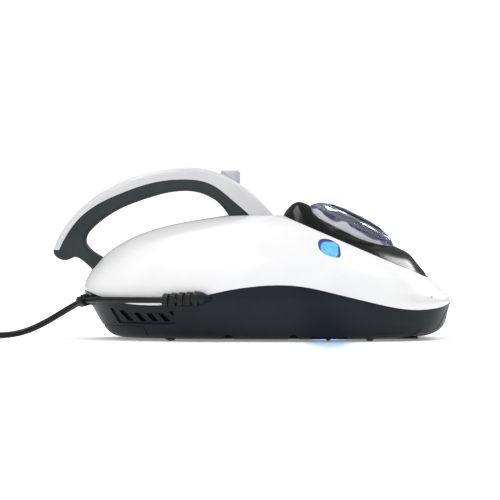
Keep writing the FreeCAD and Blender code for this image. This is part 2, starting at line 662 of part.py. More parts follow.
def fan_duct(well_body):
    """The passage from the bin's outlet window to the eye of the fan."""
    start = Placement(Vector(BIN_X, 0, BIN_Z), Rotation(Vector(0, 1, 0), BIN_TILT))

    def form(radius_a, radius_b, grow):
        first = Part.Wire([Part.makeCircle(radius_a, Vector(-44 + grow, 0, OUTLET_Z), Vector(-1, 0, 0))])
        first.Placement = start
        last = Part.Wire([Part.makeCircle(radius_b, Vector(FAN_X[1] - (0.6 if grow else 0), 0, FAN_Z + 2),
                                          Vector(-1, 0, 0))])
        middle = Part.Wire([Part.makeCircle((radius_a + radius_b) / 2, Vector(33, 0, FAN_Z + 19),
                                            Vector(-0.93, 0, -0.25))])
        return Part.makeLoft([first, middle, last], True, False)

    shell = cut(form(16.0, 19.0, 0.0), form(14.0, 17.0, 1.0))
    solid = cut(shell, well_body, cyl_x(FAN_R, 0, FAN_Z, *FAN_X))
    return max(solid.Solids, key=lambda s: s.Volume)


def exhaust_filter():
    folds = 15
    span = 108.0
    points = []
    for k in range(folds + 1):
        y = -span / 2 + span * k / folds
        points.append(Vector(-92 if k % 2 else -102, y, 12))
    back = [Vector(p.x + 1.6, p.y, 12) for p in reversed(points)]
    paper = Part.Face(Part.makePolygon(points + back + points[:1])).extrude(Vector(0, 0, 56))
    frame = cut(box(-103, -89, -58, 58, 8, 72), box(-104, -88, -54, 54, 12, 68))
    return fuse([frame, paper.common(box(-103, -89, -55, 55, 11, 69))])


# ---------------------------------------------------------------- electrics
def electronics():
    """The main board on its pillars, and the lamp's ballast beside it."""
    parts = [box(-62, -34, -40, 40, 8.4, 10.0)]
    parts += [cyl_z(5, -54, y, 10, 24) for y in (-30, -16)]
    parts += [box(-48, -38, -8, 4, 10, 17), box(-58, -44, 12, 34, 10, 20)]
    parts += [cyl_z(2.4, x, y, BODY_LOW + BASE_WALL, 8.4) for x in (-59, -37) for y in (-37, 37)]
    ballast = fuse([box(28, 54, -72, -30, BODY_LOW + BASE_WALL, 26), box(33, 49, -64, -38, 26, 30)])
    return Part.makeCompound([fuse(parts), ballast])


def power_switch():
    return fuse([box(BUTTON_X - 7, BUTTON_X + 7, -5, 5, 146.5, 157.5), cyl_z(2, BUTTON_X, 0, 157.5, 160.0)])


def contact_switch():
    return box(UV_X - 8, UV_X + 6, -96, -88, 21.5, 29)


# ---------------------------------------------------------------- wheels
def wheel(place):
    x, r, y0, y1 = place["x"], place["r"], place["y0"], place["y1"]
    body = cyl_y(r, x, r, y0, y1)
    body = body.makeFillet(0.8, [e for e in body.Edges if e.Length > 2 * math.pi * r * 0.9])
    return cut(body, cyl_y(AXLE_R + SHAFT_FIT, x, r, y0 - 1, y1 + 1))


# ---------------------------------------------------------------- cord, coil, plug
def bend_radius(a, b, c):
    """Radius and half turn of the arc at point b between two runs."""
    before, after = b - a, c - b
    half = before.getAngle(after) / 2
    return 0.45 * min(before.Length, after.Length) / math.tan(half), half


def route_wire(route):
    """Straight runs joined by tangent arcs, each as large as its two runs allow."""
    points = [Vector(*p) for p in route]
    edges, last, radii = [], points[0], []
    for a, b, c in zip(points, points[1:], points[2:]):
        radius, half = bend_radius(a, b, c)
        radii.append(round(radius, 1))
        reach = radius * math.tan(half)
        before, after = (b - a).normalize(), (c - b).normalize()
        start, end = b - before * reach, b + after * reach
        inward = (after - before).normalize()
        middle = b + inward * (radius / math.cos(half) - radius)
        edges.append(Part.LineSegment(last, start).toShape())
        edges.append(Part.Arc(start, middle, end).toShape())
        last = end
    edges.append(Part.LineSegment(last, points[-1]).toShape())
    return Part.Wire(edges), radii


def route_tube(route, name):
    wire, radii = route_wire(route)
    heading = Vector(*route[1]) - Vector(*route[0])
    ring = Part.Wire([Part.makeCircle(CORD_D / 2, Vector(*route[0]), heading)])
    solid = wire.makePipeShell([ring], True, False)
    ideal = math.pi * CORD_D ** 2 / 4 * wire.Length
    share = round(solid.Volume / ideal, 4)
    print(name, "length", round(wire.Length, 1), "radii", radii, "volume share", share)
    return solid


def cord_coil():
    half = CORD_D / 2
    ring = revolve([(COIL_RADII[0] - half, 0), (COIL_RADII[-1] + half, 0),
                    (COIL_RADII[-1] + half, COIL_TOP), (COIL_RADII[0] - half, COIL_TOP)])
    rims = [e for e in ring.Edges if e.Length > 100]
    ring = ring.makeFillet(half - 0.1, rims)
    ring.translate(Vector(COIL_X, COIL_Y, 0))
    return ring


def coil_tie():
    """A strap over the coil's bundle of turns, down to the floor on both sides."""
    half = CORD_D / 2
    x0, x1 = COIL_X + COIL_RADII[0] - half, COIL_X + COIL_RADII[-1] + half
    return cut(box(x0 - 1.4, x1 + 1.4, COIL_Y - 9, COIL_Y + 9, 0, COIL_TOP + 1.4), cord_coil(),
               box(x0 + 3, x1 - 3, COIL_Y - 10, COIL_Y + 10, -1, 3))


def relief_axis():
    start = Vector(-54.6, -124.6, 46.8)
    tip = Vector(*CORD_ROUTE[0])
    return start, tip


def ribbed_relief(length, root_r, tip_r, ribs):
    """A tapered, ribbed sleeve along +Z."""
    step = length / ribs
    profile = [(0, 0)]
    for k in range(ribs):
        z0, z1 = k * step, (k + 1) * step
        r0 = root_r + (tip_r - root_r) * z0 / length
        profile += [(r0, z0), (r0, z0 + step * 0.62), (r0 - 1.7, z0 + step * 0.66), (r0 - 1.7, z1)]
    profile += [(tip_r, length), (0, length)]
    unique = [p for i, p in enumerate(profile) if i == 0 or p != profile[i - 1]]
    return revolve(unique)


def along(shape, start, heading):
    moved = shape.copy()
    moved.Placement = Placement(start, Rotation(Vector(0, 0, 1), heading))
    return moved


def strain_relief(body):
    start, tip = relief_axis()
    sleeve = along(ribbed_relief((tip - start).Length, 7.9, 6.7, 6), start, tip - start)
    return cut(sleeve, body)


def cord_gland(body):
    """The low boss on the base's flank that takes the strain relief's end and fades into the flank."""
    start, tip = relief_axis()
    heading = (start - tip).normalize()
    elbow = start + heading
    inward = Vector(0.86, 0.50, -0.06)
    collar = along(cyl_z(GLAND_R, 0, 0, 0, 1), start, heading)
    nose = along(Part.makeCone(GLAND_R, 3.0, 12), elbow, inward)
    boss = cut(fuse([collar, Part.makeSphere(GLAND_R, elbow), nose]), body)
    clear = along(cyl_z(GLAND_R + 1, 0, 0, -20, 0), start, heading)
    return max(cut(boss, clear).Solids, key=lambda s: s.Volume)


def cord_clip(body):
    """The open hook at the tail that holds the cord against the body."""
    centre = Vector(*CORD_ROUTE[5])
    heading = (Vector(*CORD_ROUTE[6]) - Vector(*CORD_ROUTE[4])).normalize()
    ring = tube(6.6, CORD_D / 2 + 0.25, -5.5, 5.5)
    hook = along(ring, centre, heading)
    inner = Vector(1, 0.35, 0).normalize()
    arm = along(box(-4, 4, -4, 4, 0, 16), centre + inner * 4.2, inner)
    clear = along(cyl_z(CORD_D / 2 + 0.25, 0, 0, -16, 16), centre, heading)
    mouth = along(box(-2.1, 2.1, -12, 0, -8, 8), centre, heading)
    solid = cut(fuse([hook, arm]), clear, body)
    solid = max(solid.Solids, key=lambda s: s.Volume)
    opened = cut(solid, mouth)
    return max(opened.Solids, key=lambda s: s.Volume)


def plug_place(shape):
    """From the plug's own frame, with its lead at the origin and its pins along +X, to where it lies."""
    moved = shape.copy()
    moved.Placement = Placement(Vector(*LEAD_ROUTE[-1]), Rotation(Vector(1, 0, 0), Vector(*PLUG_AXIS)))
    return moved


def plug():
    """A flat two-pin plug's moulded body."""

    def ring(half_y, half_z, at):
        points = [Vector(at, half_y * math.copysign(abs(math.cos(t)) ** 0.7, math.cos(t)),
                         half_z * math.copysign(abs(math.sin(t)) ** 0.7, math.sin(t)))
                  for t in [2 * math.pi * k / 24 for k in range(24)]]
        curve = Part.BSplineCurve()
        curve.interpolate(Points=points, PeriodicFlag=True)
        return Part.Wire([curve.toShape()])

    sections = [(5.0, 5.0, 0), (6.4, 6.0, 8), (12.0, 8.2, 17), (16.5, 9.2, 26), (16.5, 9.2, PLUG_LENGTH)]
    return plug_place(Part.makeLoft([ring(a, b, at) for a, b, at in sections], True, False))


def plug_pins():
    pins = []
    for side in (1, -1):
        pin = cyl_x(2.4, side * 9.5, 0, PLUG_LENGTH, PLUG_LENGTH + 19)
        tip = [e for e in pin.Edges if e.BoundBox.XMin > PLUG_LENGTH + 18]
        pins.append(plug_place(pin.makeChamfer(0.8, tip)))
    return Part.makeCompound(pins)


# ---------------------------------------------------------------- fasteners
BASE_SCREWS = [(-38.0, 78.0), (-38.0, -78.0), (54.0, 90.0), (54.0, -90.0)]


def screw_up(x, y, z0, length):
    """A self-tapping screw driven upwards, with its head sunk in the base."""
    head = Part.makeCone(3.6, 1.8, 2.2, Vector(x, y, z0))
    shank = cyl_z(1.5, x, y, z0 + 2.2, z0 + length)
    cross = fuse([box(x - 2, x + 2, y - 0.45, y + 0.45, z0 - 1, z0 + 1),
                  box(x - 0.45, x + 0.45, y - 2, y + 2, z0 - 1, z0 + 1)])
    return cut(fuse([head, shank]), cross)


HANDLE_SCREWS = [(-60.5, 157.5, 0.04), (-128.0, 144.6, 0.38)]


def handle_screws():
    """Screws from below the grip into the white cap."""
    screws = []
    for x, z, lean in HANDLE_SCREWS:
        screw = screw_up(0, 0, 0, 16)
        screw.Placement = Placement(Vector(x, 0, z + 1.6), Rotation(Vector(0, 1, 0), -math.degrees(lean)))
        screws.append(screw)
    return screws


def case_screws():
    return Part.makeCompound([screw_up(x, y, BODY_LOW + 0.8, 20) for x, y in BASE_SCREWS] + handle_screws())


# ---------------------------------------------------------------- buttons, plunger, hatch
def power_button():
    cap = cyl_z(BUTTON_R, BUTTON_X, 0, 164.5, BUTTON_TOP)
    rim = [e for e in cap.Edges if e.BoundBox.ZMin > BUTTON_TOP - 0.1 and e.Length > 20]
    cap = cap.makeFillet(1.4, rim)
    hollow = cyl_z(BUTTON_R - 1.8, BUTTON_X, 0, 164, BUTTON_TOP - 3)
    stem = cyl_z(2.2, BUTTON_X, 0, 163.6, BUTTON_TOP - 2)
    return fuse([cut(cap, hollow), stem])


def release_outline(grow):
    """The release button's slanted, rounded outline, as a prism across Y."""
    points = [(-11.2, 3.2), (-9.6, 8.2), (-3.8, 9.2), (4.6, 6.8), (9.8, 2.6), (11.2, -2.6), (10.6, -8.8),
              (4.2, -8.8), (-4.2, -5.8), (-9.6, -1.6)]
    scale = 1 + grow / 10.5
    curve = Part.BSplineCurve()
    curve.interpolate(Points=[Vector(RELEASE_X + x * scale, 0, RELEASE_Z + z * scale) for x, z in points],
                      PeriodicFlag=True)
    face = Part.Face(Part.Wire([curve.toShape()]))
    face.translate(Vector(0, -128, 0))
    return face.extrude(Vector(0, 76, 0))


def release_button(forms):
    """The right-hand button: a curved cap flush with the shell, on a stem."""
    cap = cut(release_outline(0.0).common(forms["button_face"]), forms["button_back"])
    cap = max(cap.Solids, key=lambda s: s.Volume)
    stem = cyl_y(3, RELEASE_X, RELEASE_Z, -87, -62)
    return fuse([cap, cut(stem, forms["white_inside"].copy().cut(forms["button_back"]))])


def button_springs():
    """The power button's spring and one behind each release button's cap."""
    springs = [ring_spring(4.6, 0.5, 1.2, 3, (BUTTON_X, 0, 160.5), (0, 0, 1))]
    for side in (1, -1):
        springs.append(ring_spring(4.0, 0.5, 1.5, 3, (RELEASE_X, side * 65, RELEASE_Z), (0, side, 0)))
    return Part.makeCompound(springs)


def contact_plunger():
    return fuse([cyl_z(3, UV_X - 1, -92, 2.5, 14), Part.makeSphere(3, Vector(UV_X - 1, -92, 3.6)),
                 cyl_z(4.6, UV_X - 1, -92, 9, 10.5), cyl_z(1.6, UV_X - 1, -92, 14, 18.6)])


HATCH_TOP = 15.6
BUMPER_LINE = [(216, 38.5), (211.5, 33), (207.2, 27), (202, 17), (196, 10), (189.5, 6.0), (186, 0)]


def hatch_region(grow):
    line = [(-200, HATCH_TOP + grow), (-115.4 + grow, HATCH_TOP + grow), (-107.2 + grow, 0), (-200, 0)]
    return polygon_y(line, -140, 140)


def bumper_region(grow):
    line = [(x - grow, z) for x, z in BUMPER_LINE]
    edges = [spline(line)] + polyline([line[-1], (240, 0), (240, line[0][1]), line[0]])
    return prism_y(edges, -140, 140)


# ---------------------------------------------------------------- louvres
LOUVRE_AREA = [(-151, 34.5), (-132, 35.2), (-112, 33.0), (-84, 34.6), (-80.5, 31.5), (-80.5, 20.2),
               (-83, 18.4), (-141, 18.4)]
LOUVRE_SLOTS = [(-141.5, 32.6), (-125.5, 30.4), (-112.2, 29.8), (-99.6, 30.2), (-88.2, 32.4)]


def louvre_slot(x, z):
    low, lean, width = 21.4, 0.92, 6.2
    run = (z - low) * lean
    slot = polygon_y([(x, z), (x + width, z), (x + run + width, low), (x + run, low)], -140, 140)
    return slot.common(box(-160, -82.6, -141, 141, 0, 60))


# ---------------------------------------------------------------- shells
def screw_posts():
    return [cyl_z(5.2, x, y, 0, 34) for x, y in BASE_SCREWS]


def wheel_wells(grow, low):
    """A box over each wheel: the hollow itself, or the block round it when grow is positive."""
    boxes = []
    for place in (FRONT_WHEEL, REAR_WHEEL):
        x, r = place["x"], place["r"]
        for side in (1, -1):
            y0, y1 = sorted((side * (place["y0"] - 1.1 - grow), side * (place["y1"] + 1.1 + grow)))
            boxes.append(box(x - r - 1.6 - grow, x + r + 1.6 + grow, y0, y1, low, 2 * r + 1.4 + grow))
    return boxes


def axle_rods(end):
    rods = []
    for place in (FRONT_WHEEL, REAR_WHEEL):
        for side in (1, -1):
            y0, y1 = sorted((side * (place["y0"] - end), side * (place["y1"] + end)))
            rods.append(cyl_y(AXLE_R, place["x"], place["r"], y0, y1))
    return rods


def upper_shell(forms, handle, well_body):
    shell = cut(forms["outer"], forms["white_inside"]).common(above_seam(SEAM_GAP))
    shell = cut(shell, deck_half_space(0.0), handle)
    holes = release_outline(0.55)
    shell = cut(shell, holes, mirrored(holes), well_body)
    return max(shell.Solids, key=lambda s: s.Volume)


def base_shell(forms):
    """The lower casing: the hollow form with the wheels' pockets, the screw posts and the louvre slots."""
    inside = forms["base_inside"]
    for solid in wheel_wells(1.7, 0) + screw_posts():
        inside = inside.cut(solid.common(forms["outer"]))
    shell = cut(forms["outer"], inside, above_seam(0.0), *wheel_wells(0, -1), *axle_rods(2.6))
    recess = polygon_y(LOUVRE_AREA, -140, 140)
    tools = [cut(recess.common(forms["outer"]), forms["recess"])]
    tools += [louvre_slot(x, z) for x, z in LOUVRE_SLOTS]
    tools += [box(BRUSH_X - 22, BRUSH_X + 20, BRUSH_Y[0] - 1, BRUSH_Y[1] + 0.5, -1, BRUSH_Z - 8),
              box(67, 99, -66, 66, -1, BODY_LOW + BASE_WALL + 0.01),
              cyl_z(3.25, UV_X - 1, -92, -1, 7)]
    for x in (-24.6, 45.0):
        tools += [cyl_y(5.7, x, 1.5, 84, 130), cyl_y(5.7, x, 1.5, -130, -84)]
    tools += [box(63.5, 101.8, 88, 130, -1, 5.2), box(63.5, 101.8, -130, -96.5, -1, 5.2)]
    for x, y in BASE_SCREWS:
        tools += [Part.makeCone(3.8, 1.9, 2.4, Vector(x, y, BODY_LOW + 0.6)),
                  cyl_z(3.8, x, y, -1, BODY_LOW + 0.61), cyl_z(1.5, x, y, 0, BODY_LOW + 21)]
    tools += [hatch_region(0.5), bumper_region(0.8)]
    return max(cut(shell, *tools).Solids, key=lambda s: s.Volume)


def front_bumper(forms):
    skin = cut(forms["outer"], forms["base_inside"], above_seam(0.0))
    return max(skin.common(bumper_region(0.0)).Solids, key=lambda s: s.Volume)


def exhaust_hatch(forms):
    skin = cut(forms["outer"], forms["base_inside"]).common(hatch_region(0.0))
    solid = max(skin.Solids, key=lambda s: s.Volume)
    notch = box(-166, -156, -14, 14, 12.2, 17)
    return cut(solid, notch)


def louvre_insert(forms):
    """The slatted plate behind the louvre slots, one on each flank."""
    area = [(-147, 33.6), (-132, 34.2), (-112, 32.2), (-86, 33.6), (-82.5, 30), (-82.5, 21), (-138, 20)]
    plate = cut(forms["base_inside"], forms["insert_back"]).common(polygon_y(area, -140, 0))
    slits = [polygon_y([(x + 3.6, 32.4), (x + 5.2, 32.4), (x + 15.2, 21.4), (x + 13.6, 21.4)], -140, 0)
             for x in range(-144, -92, 5)]
    solid = cut(plate, Part.makeCompound(slits))
    return max(solid.Solids, key=lambda s: s.Volume)


def nozzle_plate():
    """The frame screwed under the brush mouth, with bars that keep bedding out."""
    x0, x1 = BRUSH_X - 21.8, BRUSH_X + 19.8
    y0, y1 = BRUSH_Y[0] - 0.8, BRUSH_Y[1] + 0.3
    frame = cut(box(x0, x1, y0, y1, BODY_LOW - 0.3, BODY_LOW + 1.4),
                box(x0 + 2, x1 - 2, y0 + 3, y1 - 3, 0, 10))
    count = 6
    bars = [box(x0 + 1, x1 - 1, y0 + (y1 - y0) * k / count - 0.7, y0 + (y1 - y0) * k / count + 0.7,
                BODY_LOW - 0.3, BODY_LOW + 0.9) for k in range(1, count)]
    plate = fuse([frame] + bars)
    return cut(plate, cyl_y(BRUSH_TUFT_R + 0.7, BRUSH_X, BRUSH_Z, BRUSH_Y[0] + 3.1, BRUSH_Y[1] - 3.6))


def indicator_lens(forms):
    lens = cyl_y(1.7, 192.6, 47.2, -110, -20)
    return max(cut(lens.common(forms["outer"]), forms["white_inside"]).Solids, key=lambda s: s.Volume)


def build():
    forms = {"outer": body_form(0.0), "recess": body_form(1.5),
             "white_inside": body_form(UPPER_WALL), "base_inside": body_form(BASE_WALL),
             "insert_back": body_form(BASE_WALL + 1.4),
             "button_face": body_form(0.7), "button_back": body_form(6.0)}
    handle = handle_form()
    channel = handle_channel()
    split = over_split()
    well_body = in_bin(Part.makeCone(CUP_LOW_R + WELL_GAP + 2.0, CUP_TOP_R + WELL_GAP + 4.0,
                                     CUP_DEPTH + WELL_GAP + 2.2, Vector(0, 0, CUP_LOW - WELL_GAP - 2.2)))
    switch = power_switch()
    button_bore = cyl_z(BUTTON_R + 0.4, BUTTON_X, 0, 160.4, 200)
    cap_screws = Part.makeCompound(handle_screws())
    nodes = {}
    lens = indicator_lens(forms)
    shell = upper_shell(forms, handle, well_body)
    nodes["upper_shell"] = cut(shell, lens, mirrored(lens))
    nodes["base_shell"] = base_shell(forms)
    nodes["front_bumper"] = front_bumper(forms)
    nodes["exhaust_hatch"] = exhaust_hatch(forms)
    nodes["bezel"] = bezel(forms["outer"])
    nodes["handle_cap"] = cut(handle.common(split), channel, button_bore, cap_screws, switch)
    nodes["handle_grip"] = cut(handle, split, channel, button_bore, cap_screws, switch)
    nodes["power_button"] = power_button()
    nodes["release_button_right"] = release_button(forms)
    nodes["release_button_left"] = mirrored(nodes["release_button_right"])
    nodes["indicator_lenses"] = both_sides(lens)
    nodes["bin_well"] = bin_well()
    nodes["dust_cup"] = dust_cup()
    nodes["bin_lid"] = bin_lid()
    nodes["lid_seal"] = lid_seal()
    nodes["cyclone_plate"] = cyclone_plate()
    nodes["mesh_screen"] = mesh_screen()
    nodes["pleated_filter"] = pleated_filter()
    nodes["brush_core"] = brush_core()
    nodes["brush_tufts"] = brush_tufts()
    nodes["brush_pulley"] = flanged_pulley(BRUSH_PULLEY_R, BRUSH_X, BRUSH_Z, 3.5)
    nodes["brush_bearings"] = brush_bearings()
    nodes["brush_hood"] = brush_hood()
    nodes["brush_motor"] = brush_motor()
    nodes["motor_pulley"] = motor_pulley()
    nodes["drive_belt"] = drive_belt()
    nodes["inlet_duct"] = inlet_duct(well_body)
    nodes["nozzle_plate"] = nozzle_plate()
    nodes["uv_lamp"] = uv_lamp()
    nodes["uv_sockets"] = uv_sockets()
    nodes["uv_reflector"] = uv_reflector()
    nodes["uv_window"] = uv_window()
    nodes["contact_plunger"] = contact_plunger()
    nodes["fan_housing"] = fan_housing()
    nodes["impeller"] = impeller()
    nodes["motor_can"] = motor_can()
    nodes["stator"] = stator()
    nodes["armature"] = armature()
    nodes["motor_mounts"] = motor_mounts()
    nodes["fan_duct"] = fan_duct(well_body)
    nodes["exhaust_filter"] = exhaust_filter()
    nodes["side_louvres"] = both_sides(louvre_insert(forms))
    for name, place, side in (("wheel_front_left", FRONT_WHEEL, 1), ("wheel_front_right", FRONT_WHEEL, -1),
                              ("wheel_rear_left", REAR_WHEEL, 1), ("wheel_rear_right", REAR_WHEEL, -1)):
        nodes[name] = wheel(place) if side > 0 else mirrored(wheel(place))
    nodes["electronics"] = electronics()
    nodes["wheel_axles"] = Part.makeCompound(axle_rods(2.6))
    nodes["case_screws"] = case_screws()
    nodes["micro_switches"] = Part.makeCompound([switch, contact_switch()])
    nodes["button_springs"] = button_springs()
    nodes["cord_gland"] = cord_gland(forms["outer"])
    nodes["strain_relief"] = strain_relief(forms["outer"])
    nodes["cord_clip"] = cord_clip(forms["outer"])
    nodes["supply_cord"] = route_tube(CORD_ROUTE, "supply_cord")
    nodes["cord_coil"] = cord_coil()
    nodes["coil_tie"] = coil_tie()
    nodes["plug_lead"] = route_tube(LEAD_ROUTE, "plug_lead")
    nodes["plug_body"] = plug()
    nodes["plug_pins"] = plug_pins()
    return nodes


def main():
    os.makedirs("parts", exist_ok=True)
    for name, shape in build().items():
        bad = [s for s in shape.Solids if not s.isValid()]
        if bad or not shape.Solids:
            print("CHECK", name, "solids", len(shape.Solids), "invalid", len(bad))
        shape.exportStep(os.path.join("parts", name + ".step"))


main()
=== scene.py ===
"""Visual model of a corded hand-held mattress vacuum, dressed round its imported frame.

Lengths are metres in the frame's own axes: +X to the nose, +Y to the left of the body, +Z up.
"""

import json
import logging
import math
from dataclasses import dataclass
from enum import Enum
from typing import Callable, ClassVar, Sequence

import bmesh
import bpy
from mathutils import Matrix, Vector

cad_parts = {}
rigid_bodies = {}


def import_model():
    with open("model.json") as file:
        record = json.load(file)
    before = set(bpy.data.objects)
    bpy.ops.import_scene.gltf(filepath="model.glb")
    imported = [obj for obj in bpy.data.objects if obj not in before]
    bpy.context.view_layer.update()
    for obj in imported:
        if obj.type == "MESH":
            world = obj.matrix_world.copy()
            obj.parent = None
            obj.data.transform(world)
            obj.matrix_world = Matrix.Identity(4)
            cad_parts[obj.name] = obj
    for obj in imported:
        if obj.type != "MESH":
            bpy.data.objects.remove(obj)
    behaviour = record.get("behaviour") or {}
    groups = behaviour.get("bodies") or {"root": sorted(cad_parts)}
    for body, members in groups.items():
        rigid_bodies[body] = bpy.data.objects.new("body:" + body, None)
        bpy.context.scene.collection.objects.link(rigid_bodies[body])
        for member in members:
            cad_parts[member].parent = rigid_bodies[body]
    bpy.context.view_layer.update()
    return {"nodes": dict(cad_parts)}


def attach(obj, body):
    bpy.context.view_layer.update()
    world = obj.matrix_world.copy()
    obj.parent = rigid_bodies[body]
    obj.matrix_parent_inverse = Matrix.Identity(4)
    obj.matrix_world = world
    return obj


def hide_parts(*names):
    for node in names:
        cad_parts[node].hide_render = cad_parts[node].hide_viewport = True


PAST = 0.001            # how far a cutting form runs past what it cuts
log = logging.getLogger("mattress_vacuum")
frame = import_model()

Socket = bpy.types.NodeSocket
Piece = bpy.types.Object
Point = tuple[float, float, float]
Colour = tuple[float, float, float]
FacePick = Callable[[Vector, Vector], bool]


class Side(Enum):
    """The two flanks of the body."""

    LEFT = 1
    RIGHT = -1


class Grain(Enum):
    """Surface textures that a mould leaves, with the size of their grain in metres."""

    POLISHED = 0.0200
    SATIN = 0.0011
    SPARKED = 0.0006
    SOFT_TOUCH = 0.0004


# ---------------------------------------------------------------- finishes
class Recipe:
    """A material's node tree, built one node at a time from the piece's own coordinates."""

    def __init__(self, name: str) -> None:
        """Start a material with one Principled shader.

        Args:
            name: what the finish is called.
        """
        self.material = bpy.data.materials.new(name)
        self.material.use_nodes = True
        self.tree = self.material.node_tree
        self.shader = self.tree.nodes["Principled BSDF"]
        self.coords = self.tree.nodes.new("ShaderNodeTexCoord").outputs["Object"]

    def node(self, kind: str, **settings: object) -> bpy.types.Node:
        """Add a node and set its plain properties.

        Args:
            kind: the node's type name.
            **settings: properties of the node.

        Returns:
            The new node.
        """
        made = self.tree.nodes.new(kind)
        for key, value in settings.items():
            setattr(made, key, value)
        return made

    def join(self, source: Socket, target: Socket) -> None:
        """Link one socket to another."""
        self.tree.links.new(source, target)

    def placed(self, centre: Point = (0, 0, 0), stretch: Point = (1, 1, 1),
               turn: Point = (0, 0, 0)) -> Socket:
        """Coordinates moved to a centre, turned and stretched.

        Args:
            centre: point that becomes the origin.
            stretch: factor along each axis.
            turn: rotation in radians.

        Returns:
            The moved coordinates.
        """
        shift = self.node("ShaderNodeVectorMath", operation="SUBTRACT")
        shift.inputs[1].default_value = centre
        self.join(self.coords, shift.inputs[0])
        mapping = self.node("ShaderNodeMapping")
        mapping.inputs["Scale"].default_value = stretch
        mapping.inputs["Rotation"].default_value = turn
        self.join(shift.outputs[0], mapping.inputs["Vector"])
        return mapping.outputs[0]

    def noise(self, size: float, detail: float = 3.0, where: Socket | None = None) -> Socket:
        """Soft random variation.

        Args:
            size: width of one patch in metres.
            detail: number of finer layers.
            where: coordinates to use in place of the piece's own.

        Returns:
            A value from 0 to 1.
        """
        made = self.node("ShaderNodeTexNoise")
        made.inputs["Scale"].default_value = 1.0 / size
        made.inputs["Detail"].default_value = detail
        self.join(where or self.coords, made.inputs["Vector"])
        return made.outputs["Fac"]

    def cells(self, size: float) -> Socket:
        """Distance to the nearest cell centre, for leathery and sparked grain.

        Args:
            size: width of one cell in metres.

        Returns:
            The distance, in cell widths.
        """
        made = self.node("ShaderNodeTexVoronoi")
        made.inputs["Scale"].default_value = 1.0 / size
        self.join(self.coords, made.inputs["Vector"])
        return made.outputs["Distance"]

    def bands(self, size: float, direction: str, where: Socket | None = None) -> Socket:
        """Even stripes across one axis.

        Args:
            size: width of one stripe in metres.
            direction: X, Y or Z.
            where: coordinates to use in place of the piece's own.

        Returns:
            A value from 0 to 1.
        """
        made = self.node("ShaderNodeTexWave", bands_direction=direction)
        made.inputs["Scale"].default_value = 0.314 / size
        made.inputs["Distortion"].default_value = 0.0
        self.join(where or self.coords, made.inputs["Vector"])
        return made.outputs["Fac"]

    def reach(self, centre: Point, stretch: Point) -> Socket:
        """Distance from a point.

        Args:
            centre: the point.
            stretch: factor along each axis, which sets the unit of the distance.

        Returns:
            The distance.
        """
        length = self.node("ShaderNodeVectorMath", operation="LENGTH")
        self.join(self.placed(centre, stretch), length.inputs[0])
        return length.outputs["Value"]

    def span(self, value: Socket, low: float, high: float, to_low: float, to_high: float) -> Socket:
        """Carry a value from one range to another, held at both ends.

        Args:
            value: the value.
            low: where its range starts.
            high: where its range ends.
            to_low: result at the start.
            to_high: result at the end.

        Returns:
            The carried value.
        """
        made = self.node("ShaderNodeMapRange", interpolation_type="SMOOTHSTEP")
        for key, number in (("From Min", low), ("From Max", high), ("To Min", to_low), ("To Max", to_high)):
            made.inputs[key].default_value = number
        self.join(value, made.inputs["Value"])
        return made.outputs["Result"]

    def blend(self, share: Socket, first: Colour, second: Colour) -> Socket:
        """Mix two colours.

        Args:
            share: 0 for the first colour, 1 for the second.
            first: linear colour.
            second: linear colour.

        Returns:
            The mixed colour.
        """
        made = self.node("ShaderNodeMix", data_type="RGBA")
        made.inputs["A"].default_value = (*first, 1)
        made.inputs["B"].default_value = (*second, 1)
        self.join(share, made.inputs["Factor"])
        return made.outputs["Result"]

    def layer(self, share: Socket, under: Socket, over: Colour) -> Socket:
        """Lay a plain colour over a mixed one.

        Args:
            share: how much of the plain colour shows, from 0 to 1.
            under: the mixed colour.
            over: the plain colour, linear.

        Returns:
            The layered colour.
        """
        made = self.node("ShaderNodeMix", data_type="RGBA")
        self.join(under, made.inputs["A"])
        made.inputs["B"].default_value = (*over, 1)
        self.join(share, made.inputs["Factor"])
        return made.outputs["Result"]

    def relief(self, height: Socket, depth: float, under: Socket | None = None) -> Socket:
        """Turn a height into a bump on the shader.

        Args:
            height: value from 0 to 1.
            depth: how deep the relief is, in metres.
            under: another bump that this one lies on.

        Returns:
            The bumped normal.
        """
        made = self.node("ShaderNodeBump")
        made.inputs["Strength"].default_value = 1.0
        made.inputs["Distance"].default_value = depth
        self.join(height, made.inputs["Height"])
        if under is not None:
            self.join(under, made.inputs["Normal"])
        self.join(made.outputs["Normal"], self.shader.inputs["Normal"])
        return made.outputs["Normal"]

    def colour(self, socket: Socket) -> None:
        """Drive the base colour."""
        self.join(socket, self.shader.inputs["Base Color"])

    def rough(self, socket: Socket) -> None:
        """Drive the roughness."""
        self.join(socket, self.shader.inputs["Roughness"])

    def steady(self, **values: float | tuple) -> None:
        """Set shader sockets that are the same all over, such as Coat_Weight=0.4."""
        for key, value in values.items():
            self.shader.inputs[key.replace("_", " ")].default_value = value


@dataclass(frozen=True)
class Moulding:
    """Moulded plastic or rubber: two close tones, patchy gloss and the mould's grain."""

    name: str
    tone: Colour
    second: Colour
    roughness: float
    grain: Grain = Grain.SATIN
    depth: float = 0.00002
    coat: float = 0.0
    specular: float = 0.5
    sheen: float = 0.0

    def build(self) -> bpy.types.Material:
        """Make the material.

        Returns:
            The finished material.
        """
        r = Recipe(self.name)
        r.colour(r.blend(r.span(r.noise(0.045, 2.0), 0.35, 0.65, 0, 1), self.tone, self.second))
        duller = min(1.0, self.roughness * 1.06)
        r.rough(r.span(r.noise(0.05, 3.0), 0.3, 0.7, self.roughness * 0.95, duller))
        size = self.grain.value
        r.relief(r.noise(size, 2.0) if self.grain is Grain.POLISHED else r.cells(size), self.depth)
        r.steady(Coat_Weight=self.coat, Coat_Roughness=0.06, Specular_IOR_Level=self.specular,
                 Sheen_Weight=self.sheen, Sheen_Roughness=0.4)
        return r.material


